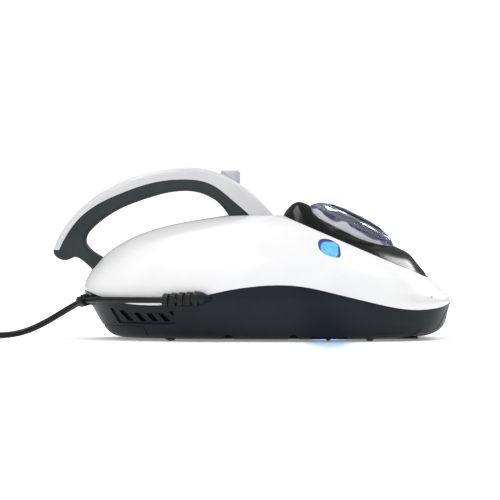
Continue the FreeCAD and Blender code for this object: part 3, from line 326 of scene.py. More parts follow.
@dataclass(frozen=True)
class ClearPlastic:
    """Clear or smoked polycarbonate with faint flow lines from its gate."""

    name: str
    tint: Colour
    deep: Colour
    roughness: float = 0.02
    centre: Point = (0.111, 0.0, 0.127)
    clarity: float = 0.94

    def build(self) -> bpy.types.Material:
        """Make the material.

        Returns:
            The finished material.
        """
        r = Recipe(self.name)
        flow = r.noise(0.03, 1.0, r.placed(self.centre, (1, 1, 3)))
        r.colour(r.blend(r.span(flow, 0.35, 0.7, 0, 1), self.tint, self.deep))
        r.rough(r.span(r.noise(0.012, 3.0), 0.4, 0.75, self.roughness, self.roughness + 0.05))
        r.relief(flow, 0.00008)
        r.steady(Transmission_Weight=self.clarity, IOR=1.5, Specular_IOR_Level=0.6,
                 Coat_Weight=0.3, Coat_Roughness=0.02)
        return r.material


@dataclass(frozen=True)
class LidRimPaintedLight:
    """The lid's thick clear edge, with a painted highlight as a pale band low down and painted shade in
    deep violet above it.
    """

    name: str = "lid_rim_painted_light"
    centre: Point = (0.1114, 0.0, 0.1265)
    tilt: float = math.radians(26.6)
    pale: Colour = (0.93, 0.95, 0.99)
    deep: Colour = (0.05, 0.055, 0.16)
    edge: tuple[float, float] = (-0.0030, -0.0006)
    wave: float = 0.012
    clarity: float = 0.55

    def build(self) -> bpy.types.Material:
        """Make the material.

        Returns:
            The finished material.
        """
        r = Recipe(self.name)
        lid = r.placed(self.centre, turn=(0, -self.tilt, 0))
        parts = r.node("ShaderNodeSeparateXYZ")
        r.join(lid, parts.inputs[0])
        wave = r.node("ShaderNodeMath", operation="MULTIPLY_ADD")
        wave.inputs[1].default_value = self.wave
        r.join(r.noise(0.022, 1.0, lid), wave.inputs[0])
        r.join(parts.outputs["Z"], wave.inputs[2])
        # painted highlight below the wavy line, painted shade above it
        r.colour(r.blend(r.span(wave.outputs[0], *self.edge, 0, 1), self.pale, self.deep))
        r.rough(r.span(r.noise(0.012, 3.0), 0.4, 0.75, 0.03, 0.08))
        r.relief(r.noise(0.02, 1.0), 0.00004)
        r.steady(Transmission_Weight=self.clarity, IOR=1.5, Specular_IOR_Level=0.6,
                 Coat_Weight=0.3, Coat_Roughness=0.02)
        return r.material


@dataclass(frozen=True)
class ButtonWithPaintedGlow:
    """Tinted clear plastic, bright in the middle, with painted shade darkening it to deep blue at its rim,
    and a painted glow.
    """

    name: str
    centre: Point
    half: Point
    bright: Colour = (0.07, 0.34, 0.84)
    deep: Colour = (0.004, 0.03, 0.22)

    def build(self) -> bpy.types.Material:
        """Make the material.

        Returns:
            The finished material.
        """
        r = Recipe(self.name)
        square = r.node("ShaderNodeVectorMath", operation="MULTIPLY")
        across = r.placed(self.centre, tuple(1.0 / h for h in self.half))
        r.join(across, square.inputs[0])
        r.join(across, square.inputs[1])
        corner = r.node("ShaderNodeVectorMath", operation="LENGTH")
        r.join(square.outputs[0], corner.inputs[0])
        # painted shade: towards the rim the colour goes deep, where the recess wall would shade the cap
        edge = r.span(corner.outputs["Value"], 0.48, 0.74, 0, 1)
        lit = r.blend(r.span(r.noise(0.009, 1.0), 0.3, 0.7, 0, 1), self.bright, (0.12, 0.46, 0.95))
        r.colour(r.layer(edge, lit, self.deep))
        r.rough(r.span(r.noise(0.004, 3.0), 0.3, 0.7, 0.10, 0.17))
        r.relief(r.noise(0.005, 1.0), 0.00004)
        # painted glow: the button gives off light though it holds no lamp, bright in the middle and dark
        # under the painted rim shade
        glow = r.node("ShaderNodeMix", data_type="RGBA")
        r.join(edge, glow.inputs["Factor"])
        glow.inputs["A"].default_value = (0.04, 0.20, 0.55, 1)
        glow.inputs["B"].default_value = (0, 0.002, 0.03, 1)
        r.join(glow.outputs["Result"], r.shader.inputs["Emission Color"])
        r.steady(Emission_Strength=0.55, Coat_Weight=0.6, Coat_Roughness=0.04)
        return r.material


@dataclass(frozen=True)
class Metal:
    """Bare metal with a drawn or turned grain and slight staining."""

    name: str
    tone: Colour
    roughness: float
    lay: Point = (1, 40, 1)

    def build(self) -> bpy.types.Material:
        """Make the material.

        Returns:
            The finished material.
        """
        r = Recipe(self.name)
        grain = r.noise(0.01, 3.0, r.placed(stretch=self.lay))
        dark = tuple(c * 0.72 for c in self.tone)
        r.colour(r.blend(r.span(r.noise(0.02, 4.0), 0.35, 0.7, 0, 1), self.tone, dark))
        r.rough(r.span(grain, 0.3, 0.7, self.roughness * 0.8, self.roughness * 1.3))
        r.relief(grain, 0.00001)
        r.steady(Metallic=1.0)
        return r.material


@dataclass(frozen=True)
class Windings:
    """Stacked laminations with varnished copper where the coils stand out."""

    name: str = "laminations_and_copper"
    middle: Point = (-0.050, 0, 0.068)
    half_stack: float = 0.0165

    def build(self) -> bpy.types.Material:
        """Make the material.

        Returns:
            The finished material.
        """
        r = Recipe(self.name)
        sheets = r.bands(0.0007, "X")
        strands = r.bands(0.0008, "Z")
        copper = r.span(r.reach(self.middle, (1 / self.half_stack, 0, 0)), 0.98, 1.02, 0, 1)
        iron = r.blend(sheets, (0.16, 0.16, 0.165), (0.30, 0.30, 0.31))
        r.colour(r.layer(copper, iron, (0.55, 0.19, 0.06)))
        r.rough(r.span(strands, 0, 1, 0.25, 0.5))
        r.relief(sheets, 0.0002, r.relief(strands, 0.0001))
        r.steady(Metallic=0.85)
        return r.material


@dataclass(frozen=True)
class FilterPaper:
    """Fibrous filter paper that has gathered a little dust along its folds."""

    name: str = "filter_paper"

    def build(self) -> bpy.types.Material:
        """Make the material.

        Returns:
            The finished material.
        """
        r = Recipe(self.name)
        fibre = r.noise(0.0009, 6.0)
        dust = r.span(r.noise(0.012, 4.0), 0.45, 0.75, 0, 0.6)
        r.colour(r.layer(dust, r.blend(fibre, (0.80, 0.79, 0.73), (0.9, 0.89, 0.85)), (0.5, 0.48, 0.44)))
        r.rough(r.span(fibre, 0, 1, 0.8, 0.95))
        r.relief(fibre, 0.0001)
        r.steady(Sheen_Weight=0.2, Sheen_Roughness=0.5)
        return r.material


@dataclass(frozen=True)
class BoardLacquer:
    """Green solder lacquer with copper lands and dark component bodies."""

    name: str = "board_lacquer"

    def build(self) -> bpy.types.Material:
        """Make the material.

        Returns:
            The finished material.
        """
        r = Recipe(self.name)
        tracks = r.span(r.bands(0.0025, "Y", r.placed(turn=(0, 0, 0.78))), 0.6, 0.7, 0, 0.5)
        lands = r.span(r.cells(0.005), 0.10, 0.14, 1, 0)
        lacquer = r.blend(r.noise(0.01), (0.01, 0.09, 0.035), (0.015, 0.13, 0.05))
        r.colour(r.layer(lands, r.layer(tracks, lacquer, (0.03, 0.2, 0.07)), (0.55, 0.55, 0.52)))
        r.rough(r.span(r.noise(0.006), 0.3, 0.7, 0.25, 0.4))
        r.relief(tracks, 0.00005)
        r.steady(Coat_Weight=0.3, Coat_Roughness=0.1)
        return r.material


@dataclass(frozen=True)
class LampGlass:
    """The lit tube: bright blue-violet with darker ends."""

    name: str = "ultraviolet_tube"
    strength: float = 6.0
    middle: Point = (0.083, 0, 0.0165)
    half_length: float = 0.060

    def build(self) -> bpy.types.Material:
        """Make the material.

        Returns:
            The finished material.
        """
        r = Recipe(self.name)
        ends = r.span(r.reach(self.middle, (0, 1 / self.half_length, 0)), 0.86, 1.0, 0, 1)
        core = r.blend(ends, (0.18, 0.42, 1.0), (0.02, 0.02, 0.05))
        r.colour(core)
        r.join(core, r.shader.inputs["Emission Color"])
        r.rough(r.span(r.noise(0.01), 0.3, 0.7, 0.05, 0.12))
        r.relief(r.noise(0.004), 0.00002)
        r.steady(Emission_Strength=self.strength)
        return r.material


@dataclass(frozen=True)
class BristleNylon:
    """Blue and black nylon filaments packed in tufts."""

    name: str = "bristle_nylon"

    def build(self) -> bpy.types.Material:
        """Make the material.

        Returns:
            The finished material.
        """
        r = Recipe(self.name)
        strands = r.noise(0.0005, 2.0, r.placed(stretch=(1, 6, 1)))
        rows = r.span(r.noise(0.02, 0.0), 0.47, 0.53, 0, 1)
        black = r.blend(strands, (0.01, 0.012, 0.02), (0.03, 0.03, 0.04))
        r.colour(r.layer(rows, black, (0.02, 0.10, 0.42)))
        r.rough(r.span(strands, 0, 1, 0.45, 0.7))
        r.relief(strands, 0.0003)
        r.steady(Sheen_Weight=0.15, Sheen_Roughness=0.4)
        return r.material


@dataclass(frozen=True)
class CordJacket:
    """The cord's vinyl jacket, with the faint lay of its cores."""

    name: str = "cord_jacket"
    tone: Colour = (0.0035, 0.004, 0.0042)

    def build(self) -> bpy.types.Material:
        """Make the material.

        Returns:
            The finished material.
        """
        r = Recipe(self.name)
        wipe = r.noise(0.03, 3.0)
        r.colour(r.blend(r.span(wipe, 0.35, 0.7, 0, 1), self.tone, tuple(c * 1.9 for c in self.tone)))
        r.rough(r.span(wipe, 0.3, 0.7, 0.26, 0.36))
        r.relief(r.noise(0.0012, 2.0), 0.00003)
        r.steady(Specular_IOR_Level=0.24)
        return r.material


class Finishes:
    """Every finish of the object, made once."""

    def __init__(self) -> None:
        """Make the materials."""
        self.white = Moulding(
            "white_casing", (0.79, 0.79, 0.795), (0.76, 0.76, 0.77), 0.30,
            grain=Grain.POLISHED, depth=0.000006, coat=0.15).build()
        # painted shade: the handle cap is a darker copy of the casing white, standing in for the shade it
        # takes
        self.cap_white_painted_shade = Moulding(
            "handle_white_painted_shade", (0.60, 0.60, 0.61), (0.57, 0.57, 0.585), 0.34,
            grain=Grain.POLISHED, depth=0.000006, coat=0.1).build()
        self.base = Moulding(
            "charcoal_casing", (0.008, 0.0115, 0.013), (0.010, 0.014, 0.0155), 0.42,
            grain=Grain.SPARKED, specular=0.18).build()
        self.gloss_black = Moulding(
            "piano_black", (0.002, 0.002, 0.0022), (0.003, 0.003, 0.0035), 0.14,
            grain=Grain.POLISHED, depth=0.000004, specular=0.05).build()
        self.grip = Moulding(
            "soft_grip", (0.022, 0.026, 0.028), (0.028, 0.032, 0.034), 0.60,
            grain=Grain.SOFT_TOUCH, depth=0.00003, specular=0.28, sheen=0.05).build()
        # painted shade: the power button's grey-violet darkening stands in for the shadow it sits in
        self.violet_grey_painted_shade = Moulding(
            "button_grey", (0.50, 0.50, 0.54), (0.46, 0.46, 0.51), 0.33,
            depth=0.00001, coat=0.2).build()
        self.inner = Moulding(
            "inner_plastic", (0.035, 0.036, 0.04), (0.045, 0.046, 0.05), 0.5,
            grain=Grain.SPARKED, depth=0.00003).build()
        # painted shadow: the louvre insert is near black so the slots behind the side vents read as deep
        # shade
        self.painted_shadow_black = Moulding(
            "louvre_painted_shadow", (0.0015, 0.0017, 0.0018), (0.002, 0.0022, 0.0024), 0.7,
            specular=0.08).build()
        self.seal = Moulding(
            "seal_rubber", (0.012, 0.012, 0.013), (0.018, 0.018, 0.019), 0.7,
            depth=0.00004, specular=0.35).build()
        self.roller = Moulding("roller_nylon", (0.03, 0.032, 0.034), (0.04, 0.042, 0.045), 0.45).build()
        self.lens = Moulding(
            "lens_grey", (0.42, 0.43, 0.47), (0.5, 0.5, 0.54), 0.2,
            grain=Grain.POLISHED, depth=0.00001, coat=0.5).build()
        self.clear = ClearPlastic("clear_lid", (0.84, 0.88, 0.97), (0.66, 0.72, 0.92)).build()
        # the lid rim's painted highlight and painted shade
        self.rim = LidRimPaintedLight().build()
        self.cyclone = Moulding(
            "cyclone_blue_black", (0.010, 0.014, 0.030), (0.014, 0.019, 0.040), 0.22,
            grain=Grain.POLISHED, depth=0.000004, coat=0.2, specular=0.4).build()
        # painted shade: the finger pockets are tinted dark blue for the shade inside their recess
        self.pocket = ClearPlastic("pocket_painted_shade", (0.12, 0.15, 0.26), (0.05, 0.06, 0.14), 0.03).build()
        self.smoke = ClearPlastic("smoked_cup", (0.32, 0.33, 0.42), (0.22, 0.22, 0.32), 0.04).build()
        self.window = ClearPlastic(
            "lamp_window", (0.80, 0.86, 1.0), (0.7, 0.78, 1.0), 0.03, (0.083, 0, 0.006)).build()
        self.steel = Metal("drawn_steel", (0.55, 0.55, 0.56), 0.35).build()
        self.nickel = Metal("nickel_plate", (0.72, 0.70, 0.66), 0.2, (1, 1, 30)).build()
        self.mirror_sheet = Metal("reflector_sheet", (0.82, 0.84, 0.88), 0.15).build()
        self.windings = Windings().build()
        self.paper = FilterPaper().build()
        self.board = BoardLacquer().build()
        self.lamp = LampGlass().build()
        self.bristle = BristleNylon().build()
        self.cord = CordJacket().build()
        self.sleeve = CordJacket("sleeve_vinyl", (0.0045, 0.005, 0.0055)).build()


def dress(material: bpy.types.Material, *names: str) -> list[str]:
    """Give the frame's nodes a finish in place of their plain one.

    Args:
        material: the finish.
        *names: nodes of the frame.

    Returns:
        The nodes' names.
    """
    for name in names:
        node = frame["nodes"][name]
        for index in range(len(node.data.materials)):
            node.data.materials[index] = material
    return list(names)


# ---------------------------------------------------------------- bench tools
class Bench:
    """Shapes one mesh at a time with the modelling operators."""

    @staticmethod
    def clear() -> None:
        """Leave nothing selected or active."""
        for item in bpy.context.view_layer.objects.selected:
            item.select_set(False)
        bpy.context.view_layer.objects.active = None

    @classmethod
    def select(cls, piece: Piece) -> None:
        """Select one piece alone and make it active.

        Args:
            piece: the object.
        """
        cls.clear()
        piece.select_set(True)
        bpy.context.view_layer.objects.active = piece

    @classmethod
    def cylinder(cls, name: str, radius: float, depth: float, sides: int = 64) -> Piece:
        """Add a cylinder that stands on the origin.

        Args:
            name: the piece's name.
            radius: its radius.
            depth: its height.
            sides: number of sides.

        Returns:
            The new object, active and selected.
        """
        cls.clear()
        bpy.ops.mesh.primitive_cylinder_add(vertices=sides, radius=radius, depth=depth,
                                            location=(0, 0, depth / 2))
        made = bpy.context.object
        made.name = name
        made.data.name = name
        bpy.ops.object.transform_apply(location=True, rotation=True, scale=True)
        return made

    @classmethod
    def cube(cls, name: str, size: Point, centre: Point) -> Piece:
        """Add a block.

        Args:
            name: the piece's name.
            size: its length along each axis.
            centre: the place of its middle.

        Returns:
            The new object, active and selected.
        """
        cls.clear()
        bpy.ops.mesh.primitive_cube_add(size=1, location=centre, scale=size)
        made = bpy.context.object
        made.name = name
        made.data.name = name
        bpy.ops.object.transform_apply(location=True, rotation=True, scale=True)
        return made

    @staticmethod
    def pick_faces(piece: Piece, test: FacePick) -> None:
        """Select the faces that pass a test on their centre and normal, in edit mode.

        Args:
            piece: the object being edited.
            test: takes a face's centre and normal.
        """
        bpy.ops.mesh.select_mode(type="FACE")
        bpy.ops.mesh.select_all(action="DESELECT")
        for face in bmesh.from_edit_mesh(piece.data).faces:
            if test(face.calc_center_median(), face.normal):
                face.select_set(True)
        bmesh.update_edit_mesh(piece.data)

    @staticmethod
    def draw_out(along: Point) -> None:
        """Extrude the selected region along a vector."""
        bpy.ops.mesh.extrude_region_move(TRANSFORM_OT_translate={"value": along})

    @staticmethod
    def narrow(factor: Point, centre: Point) -> None:
        """Scale the selection about a point."""
        bpy.ops.transform.resize(value=factor, center_override=centre)

    @classmethod
    def rings(cls, piece: Piece, stations: Sequence[tuple[float, float]], start: float) -> None:
        """Draw a round piece's top face out through a list of radii and heights.

        Args:
            piece: a cylinder that stands on the origin, in edit mode.
            stations: (radius, height) of each ring, upwards or inwards.
            start: radius of the face that is drawn out.
        """
        radius, height = start, max(v.co.z for v in bmesh.from_edit_mesh(piece.data).verts)
        for next_radius, next_height in stations:
            cls.draw_out((0, 0, next_height - height))
            factor = next_radius / radius
            cls.narrow((factor, factor, 1), (0, 0, next_height))
            radius, height = next_radius, next_height

    @staticmethod
    def modify(piece: Piece, kind: str, **settings: object) -> None:
        """Add a modifier, set it and apply it.

        Args:
            piece: the object.
            kind: the modifier's type name.
            **settings: its properties.
        """
        Bench.select(piece)
        modifier = piece.modifiers.new(kind.lower(), kind)
        for key, value in settings.items():
            setattr(modifier, key, value)
        bpy.ops.object.modifier_apply(modifier=modifier.name)

    @staticmethod
    def rounded(piece: Piece, width: float, segments: int = 3, angle: float = 30) -> None:
        """Round the edges that are sharper than an angle.

        Args:
            piece: the object.
            width: how far back each edge is cut.
            segments: facets across the rounding.
            angle: the smallest bend that is rounded, in degrees.
        """
        Bench.modify(piece, "BEVEL", width=width, segments=segments, limit_method="ANGLE",
                     angle_limit=math.radians(angle), harden_normals=False)

    @staticmethod
    def smooth(piece: Piece, angle: float = 32) -> None:
        """Shade smooth up to an angle.

        Args:
            piece: the object.
            angle: the sharpest bend that stays smooth, in degrees.
        """
        Bench.select(piece)
        bpy.ops.object.shade_smooth_by_angle(angle=math.radians(angle))

    @staticmethod
    def outward(piece: Piece) -> None:
        """Merge doubles and turn every face outwards.

        Args:
            piece: the object.
        """
        Bench.select(piece)
        bpy.ops.object.mode_set(mode="EDIT")
        bpy.ops.mesh.select_all(action="SELECT")
        bpy.ops.mesh.remove_doubles(threshold=0.00001)
        bpy.ops.mesh.normals_make_consistent(inside=False)
        bpy.ops.object.mode_set(mode="OBJECT")

    @staticmethod
    def place(piece: Piece, matrix: Matrix) -> None:
        """Carry a piece's mesh to its place and leave the object at the origin."""
        piece.data.transform(matrix)
        piece.data.update()

    @staticmethod
    def carve(piece: Piece, tool: Piece, operation: str = "DIFFERENCE") -> None:
        """Cut a tool out of a piece, then remove the tool."""
        Bench.modify(piece, "BOOLEAN", object=tool, operation=operation, solver="EXACT")
        bpy.data.objects.remove(tool)

    @staticmethod
    def paint(piece: Piece, material: bpy.types.Material) -> None:
        """Give a new piece its finish."""
        piece.data.materials.clear()
        piece.data.materials.append(material)


def faces_up(centre: Vector, normal: Vector) -> bool:
    """Whether a face looks upwards."""
    return normal.z > 0.9


def standing(point: Point, heading: Sequence[float]) -> Matrix:
    """Placement that carries +Z to a heading at a point.

    Args:
        point: where the piece's origin goes.
        heading: direction that its +Z takes.

    Returns:
        The matrix.
    """
    turn = Vector(heading).to_track_quat("Z", "Y").to_matrix().to_4x4()
    return Matrix.Translation(Vector(point)) @ turn


# ---------------------------------------------------------------- sub-assemblies
@dataclass
class Casing:
    """White upper shell, charcoal base and their trim."""

    finishes: Finishes

    def build(self) -> list[str]:
        """Dress the shells and their trim.

        Returns:
            Names of the pieces.
        """
        f = self.finishes
        return (dress(f.white, "upper_shell")
                + dress(f.base, "base_shell", "front_bumper", "exhaust_hatch", "nozzle_plate")
                + dress(f.base, "cord_gland", "cord_clip")
                # the louvres take the painted shadow black
                + dress(f.painted_shadow_black, "side_louvres")
                + dress(f.gloss_black, "bezel")
                + dress(f.lens, "indicator_lenses")
                + dress(f.steel, "case_screws"))


@dataclass
class Handle:
    """The loop handle and its power button."""

    finishes: Finishes
    button_foot: Point = (-0.0224, 0.0, 0.1645)
    button_height: float = 0.0169
    button_radius: float = 0.0105
    BUTTON_TOP: ClassVar[tuple[tuple[float, float], ...]] = (
        (0.985, 0.0010), (0.93, 0.0003), (0.86, 0.0), (0.80, 0.0002), (0.55, 0.0008), (0.25, 0.0011))

    def build(self) -> list[str]:
        """Dress the handle and model the button.

        Returns:
            Names of the pieces.
        """
        f = self.finishes
        return (dress(f.cap_white_painted_shade, "handle_cap")
                + dress(f.grip, "handle_grip")
                + dress(f.inner, "micro_switches")
                + dress(f.steel, "button_springs")
                + [self.model_button().name])

    def model_button(self) -> Piece:
        """A barrel with a rounded rim and a shallow dish for the thumb.

        Returns:
            The button's cap.
        """
        radius, height = self.button_radius, self.button_height
        cap = Bench.cylinder("power_cap", radius, height - 0.0022, 96)
        bpy.ops.object.mode_set(mode="EDIT")
        Bench.pick_faces(cap, faces_up)
        Bench.rings(cap, [(radius * share, height - drop) for share, drop in self.BUTTON_TOP], radius)
        bpy.ops.object.mode_set(mode="OBJECT")
        Bench.smooth(cap, 40)
        Bench.place(cap, Matrix.Translation(self.button_foot))
        Bench.paint(cap, self.finishes.violet_grey_painted_shade)
        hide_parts("power_button")
        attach(cap, "power_button")
        return cap


@dataclass
class DustBin:
    """Clear twist lid, smoked cup and everything that lifts out with them."""

    finishes: Finishes
    centre: Point = (0.1114, 0.0, 0.1265)
    tilt: float = math.radians(26.6)
    radius: float = 0.050
    skirt_low: float = -0.014
    crown_low: float = -0.0080
    facets: int = 14
    pocket_radius: float = 0.0345
    pocket_floor: float = -0.0016
    under: float = -0.0039
    pocket_depth: float = 0.016
    bar_half: float = 0.0068
    wall: float = 0.0026
    CROWN: ClassVar[tuple[tuple[float, float], ...]] = (
        (0.0492, -0.0046), (0.0425, 0.0016), (0.0270, 0.0064), (0.0150, 0.0079))

    def build(self) -> list[str]:
        """Dress the bin and model its lid.

        Returns:
            Names of the pieces.
        """
        f = self.finishes
        return (dress(f.inner, "bin_well")
                + dress(f.cyclone, "cyclone_plate")
                + dress(f.smoke, "dust_cup")
                + dress(f.seal, "lid_seal")
                + dress(f.steel, "mesh_screen")
                + dress(f.paper, "pleated_filter")
                + [self.model_lid().name])

    def model_lid(self) -> Piece:
        """A thick clear crown cut in facets, with a finger pocket on each side of its grip bar.

        Returns:
            The lid.
        """
        lid = Bench.cylinder("twist_lid", self.radius, self.CROWN[-1][1] - self.skirt_low, 144)
        Bench.place(lid, Matrix.Translation((0, 0, self.skirt_low)))
        Bench.carve(lid, self.model_crown(), "INTERSECT")
        for side in Side:
            Bench.carve(lid, self.model_pocket(side))
        cavity = Bench.cylinder("cavity", self.radius - self.wall, self.under - self.skirt_low + PAST, 96)
        Bench.place(cavity, Matrix.Translation((0, 0, self.skirt_low - PAST)))
        Bench.carve(lid, cavity)
        Bench.outward(lid)
        Bench.rounded(lid, 0.0004, 2, 14)
        Bench.smooth(lid, 12)
        Bench.paint(lid, self.finishes.clear)
        # painted shade on the pockets; the rim finish's painted highlight and shade on the rim band and the
        # pockets' front walls
        self.finish_faces(lid, self.finishes.pocket, self.in_pocket)
        self.finish_faces(lid, self.finishes.rim, self.on_rim)
        self.finish_faces(lid, self.finishes.rim, self.on_front_wall)
        Bench.place(lid, Matrix.Translation(self.centre) @ Matrix.Rotation(self.tilt, 4, "Y"))
        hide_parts("bin_lid")
        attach(lid, "lid")
        return lid

    def model_crown(self) -> Piece:
        """The faceted form that the round lid is cut to.

        Returns:
            The form, which is used up by the cut.
        """
        across = 1.0 / math.cos(math.pi / self.facets)
        start = (self.radius + 2 * PAST) * across
        crown = Bench.cylinder("crown", start, self.crown_low - self.skirt_low + PAST, self.facets)
        Bench.place(crown, Matrix.Translation((0, 0, self.skirt_low - PAST)))
        bpy.ops.object.mode_set(mode="EDIT")
        Bench.pick_faces(crown, faces_up)
        Bench.rings(crown, [(radius * across, height) for radius, height in self.CROWN], start)
        bpy.ops.object.mode_set(mode="OBJECT")
        return crown

    def model_pocket(self, side: Side) -> Piece:
        """One finger pocket: half a disc that widens upwards.

        Args:
            side: the side of the grip bar that it lies on.

        Returns:
            The pocket's form, which is used up by the cut.
        """
        pocket = Bench.cylinder(f"pocket_{side.name.lower()}", self.pocket_radius, self.pocket_depth, 72)
        bpy.ops.object.mode_set(mode="EDIT")
        bpy.ops.mesh.select_all(action="SELECT")
        bpy.ops.mesh.bisect(plane_co=(0, side.value * self.bar_half, 0), plane_no=(0, side.value, 0),
                            use_fill=True, clear_inner=True)
        Bench.pick_faces(pocket, faces_up)
        Bench.narrow((1.12, 1.12, 1), (0, side.value * self.pocket_radius * 0.5, self.pocket_depth))
        bpy.ops.object.mode_set(mode="OBJECT")
        Bench.place(pocket, Matrix.Translation((0, 0, self.pocket_floor)))
        return pocket

    def finish_faces(self, lid: Piece, finish: bpy.types.Material, chosen: FacePick) -> None:
        """Give some of the lid's faces a finish of their own.

        Args:
            lid: the lid.
            finish: the faces' finish.
            chosen: takes a face's centre and normal, and says whether it has the finish.
        """
        if finish.name not in lid.data.materials:
            lid.data.materials.append(finish)
        Bench.select(lid)
        bpy.ops.object.mode_set(mode="EDIT")
        Bench.pick_faces(lid, chosen)
        lid.active_material_index = lid.data.materials.find(finish.name)
        bpy.ops.object.material_slot_assign()
        bpy.ops.object.mode_set(mode="OBJECT")

    def on_rim(self, centre: Vector, normal: Vector) -> bool:
        """Whether a face is on the steep band round the lid, below the crown's facets."""
        return math.hypot(centre.x, centre.y) > 0.044 and centre.z < -0.0044 and abs(normal.z) < 0.75

    def on_front_wall(self, centre: Vector, normal: Vector) -> bool:
        """Whether a face is the end of a pocket's curved wall towards the nose."""
        inside = self.bar_half < abs(centre.y) < self.pocket_radius * 0.62
        return inside and 0.018 < centre.x < self.pocket_radius * 1.14 and abs(normal.z) < 0.4

    def in_pocket(self, centre: Vector, normal: Vector) -> bool:
        """Whether a face is a pocket's floor or wall.

        Args:
            centre: the face's centre.
            normal: its normal.

        Returns:
            True for a floor or a wall.
        """
        near = math.hypot(centre.x, centre.y) < self.pocket_radius * 1.08
        inside = near and abs(centre.y) > self.bar_half - PAST
        floor = normal.z > 0.9 and abs(centre.z - self.pocket_floor) < PAST
        flank = abs(normal.z) < 0.4 and centre.z > self.pocket_floor - 0.0005
        return inside and (floor or flank)


@dataclass
class ReleaseButtons:
    """The blue bin release on each flank."""

    finishes: Finishes
    centre: Point = (0.0832, 0.085, 0.0974)
    half: Point = (0.0118, 0.06, 0.0106)

    def build(self) -> list[str]:
        """Give each button its own centred painted glow and painted rim shade.

        Returns:
            Names of the pieces.
        """
        pieces = []
        for side in Side:
            name = side.name.lower()
            centre = (self.centre[0], self.centre[1] * side.value, self.centre[2])
            glow = ButtonWithPaintedGlow(f"blue_button_{name}", centre, self.half)
            pieces += dress(glow.build(), f"release_button_{name}")
        return pieces


@dataclass
class BrushHead:
    """Brush, its drive and the passage to the bin."""

    finishes: Finishes

    def build(self) -> list[str]:
        """Dress the brush head.

        Returns:
            Names of the pieces.
        """
        f = self.finishes
        return (dress(f.inner, "brush_core", "brush_pulley", "brush_bearings", "brush_hood", "inlet_duct")
                + dress(f.bristle, "brush_tufts")
                + dress(f.steel, "brush_motor", "motor_pulley")
                + dress(f.seal, "drive_belt"))


@dataclass
class LampBay:
    """The ultraviolet lamp behind its window."""

    finishes: Finishes

    def build(self) -> list[str]:
        """Dress the lamp bay.

        Returns:
            Names of the pieces.
        """
        f = self.finishes
        return (dress(f.lamp, "uv_lamp")
                + dress(f.inner, "uv_sockets")
                + dress(f.mirror_sheet, "uv_reflector")
                + dress(f.window, "uv_window")
                + dress(f.roller, "contact_plunger"))


@dataclass
class SuctionUnit:
    """Motor, fan, ducts, filter and boards."""

    finishes: Finishes

    def build(self) -> list[str]:
        """Dress the inner works.

        Returns:
            Names of the pieces.
        """
        f = self.finishes
        return (dress(f.inner, "fan_housing", "impeller", "fan_duct")
                + dress(f.steel, "motor_can")
                + dress(f.windings, "stator", "armature")
                + dress(f.seal, "motor_mounts")
                + dress(f.paper, "exhaust_filter")
                + dress(f.board, "electronics"))


@dataclass
class RunningGear:
    """The four rollers and their axles."""

    finishes: Finishes

    def build(self) -> list[str]:
        """Dress the rollers and their axles.

        Returns:
            Names of the pieces.
        """
        f = self.finishes
        rollers = [f"wheel_{end}_{side}" for end in ("front", "rear") for side in ("left", "right")]
        return dress(f.roller, *rollers) + dress(f.steel, "wheel_axles")


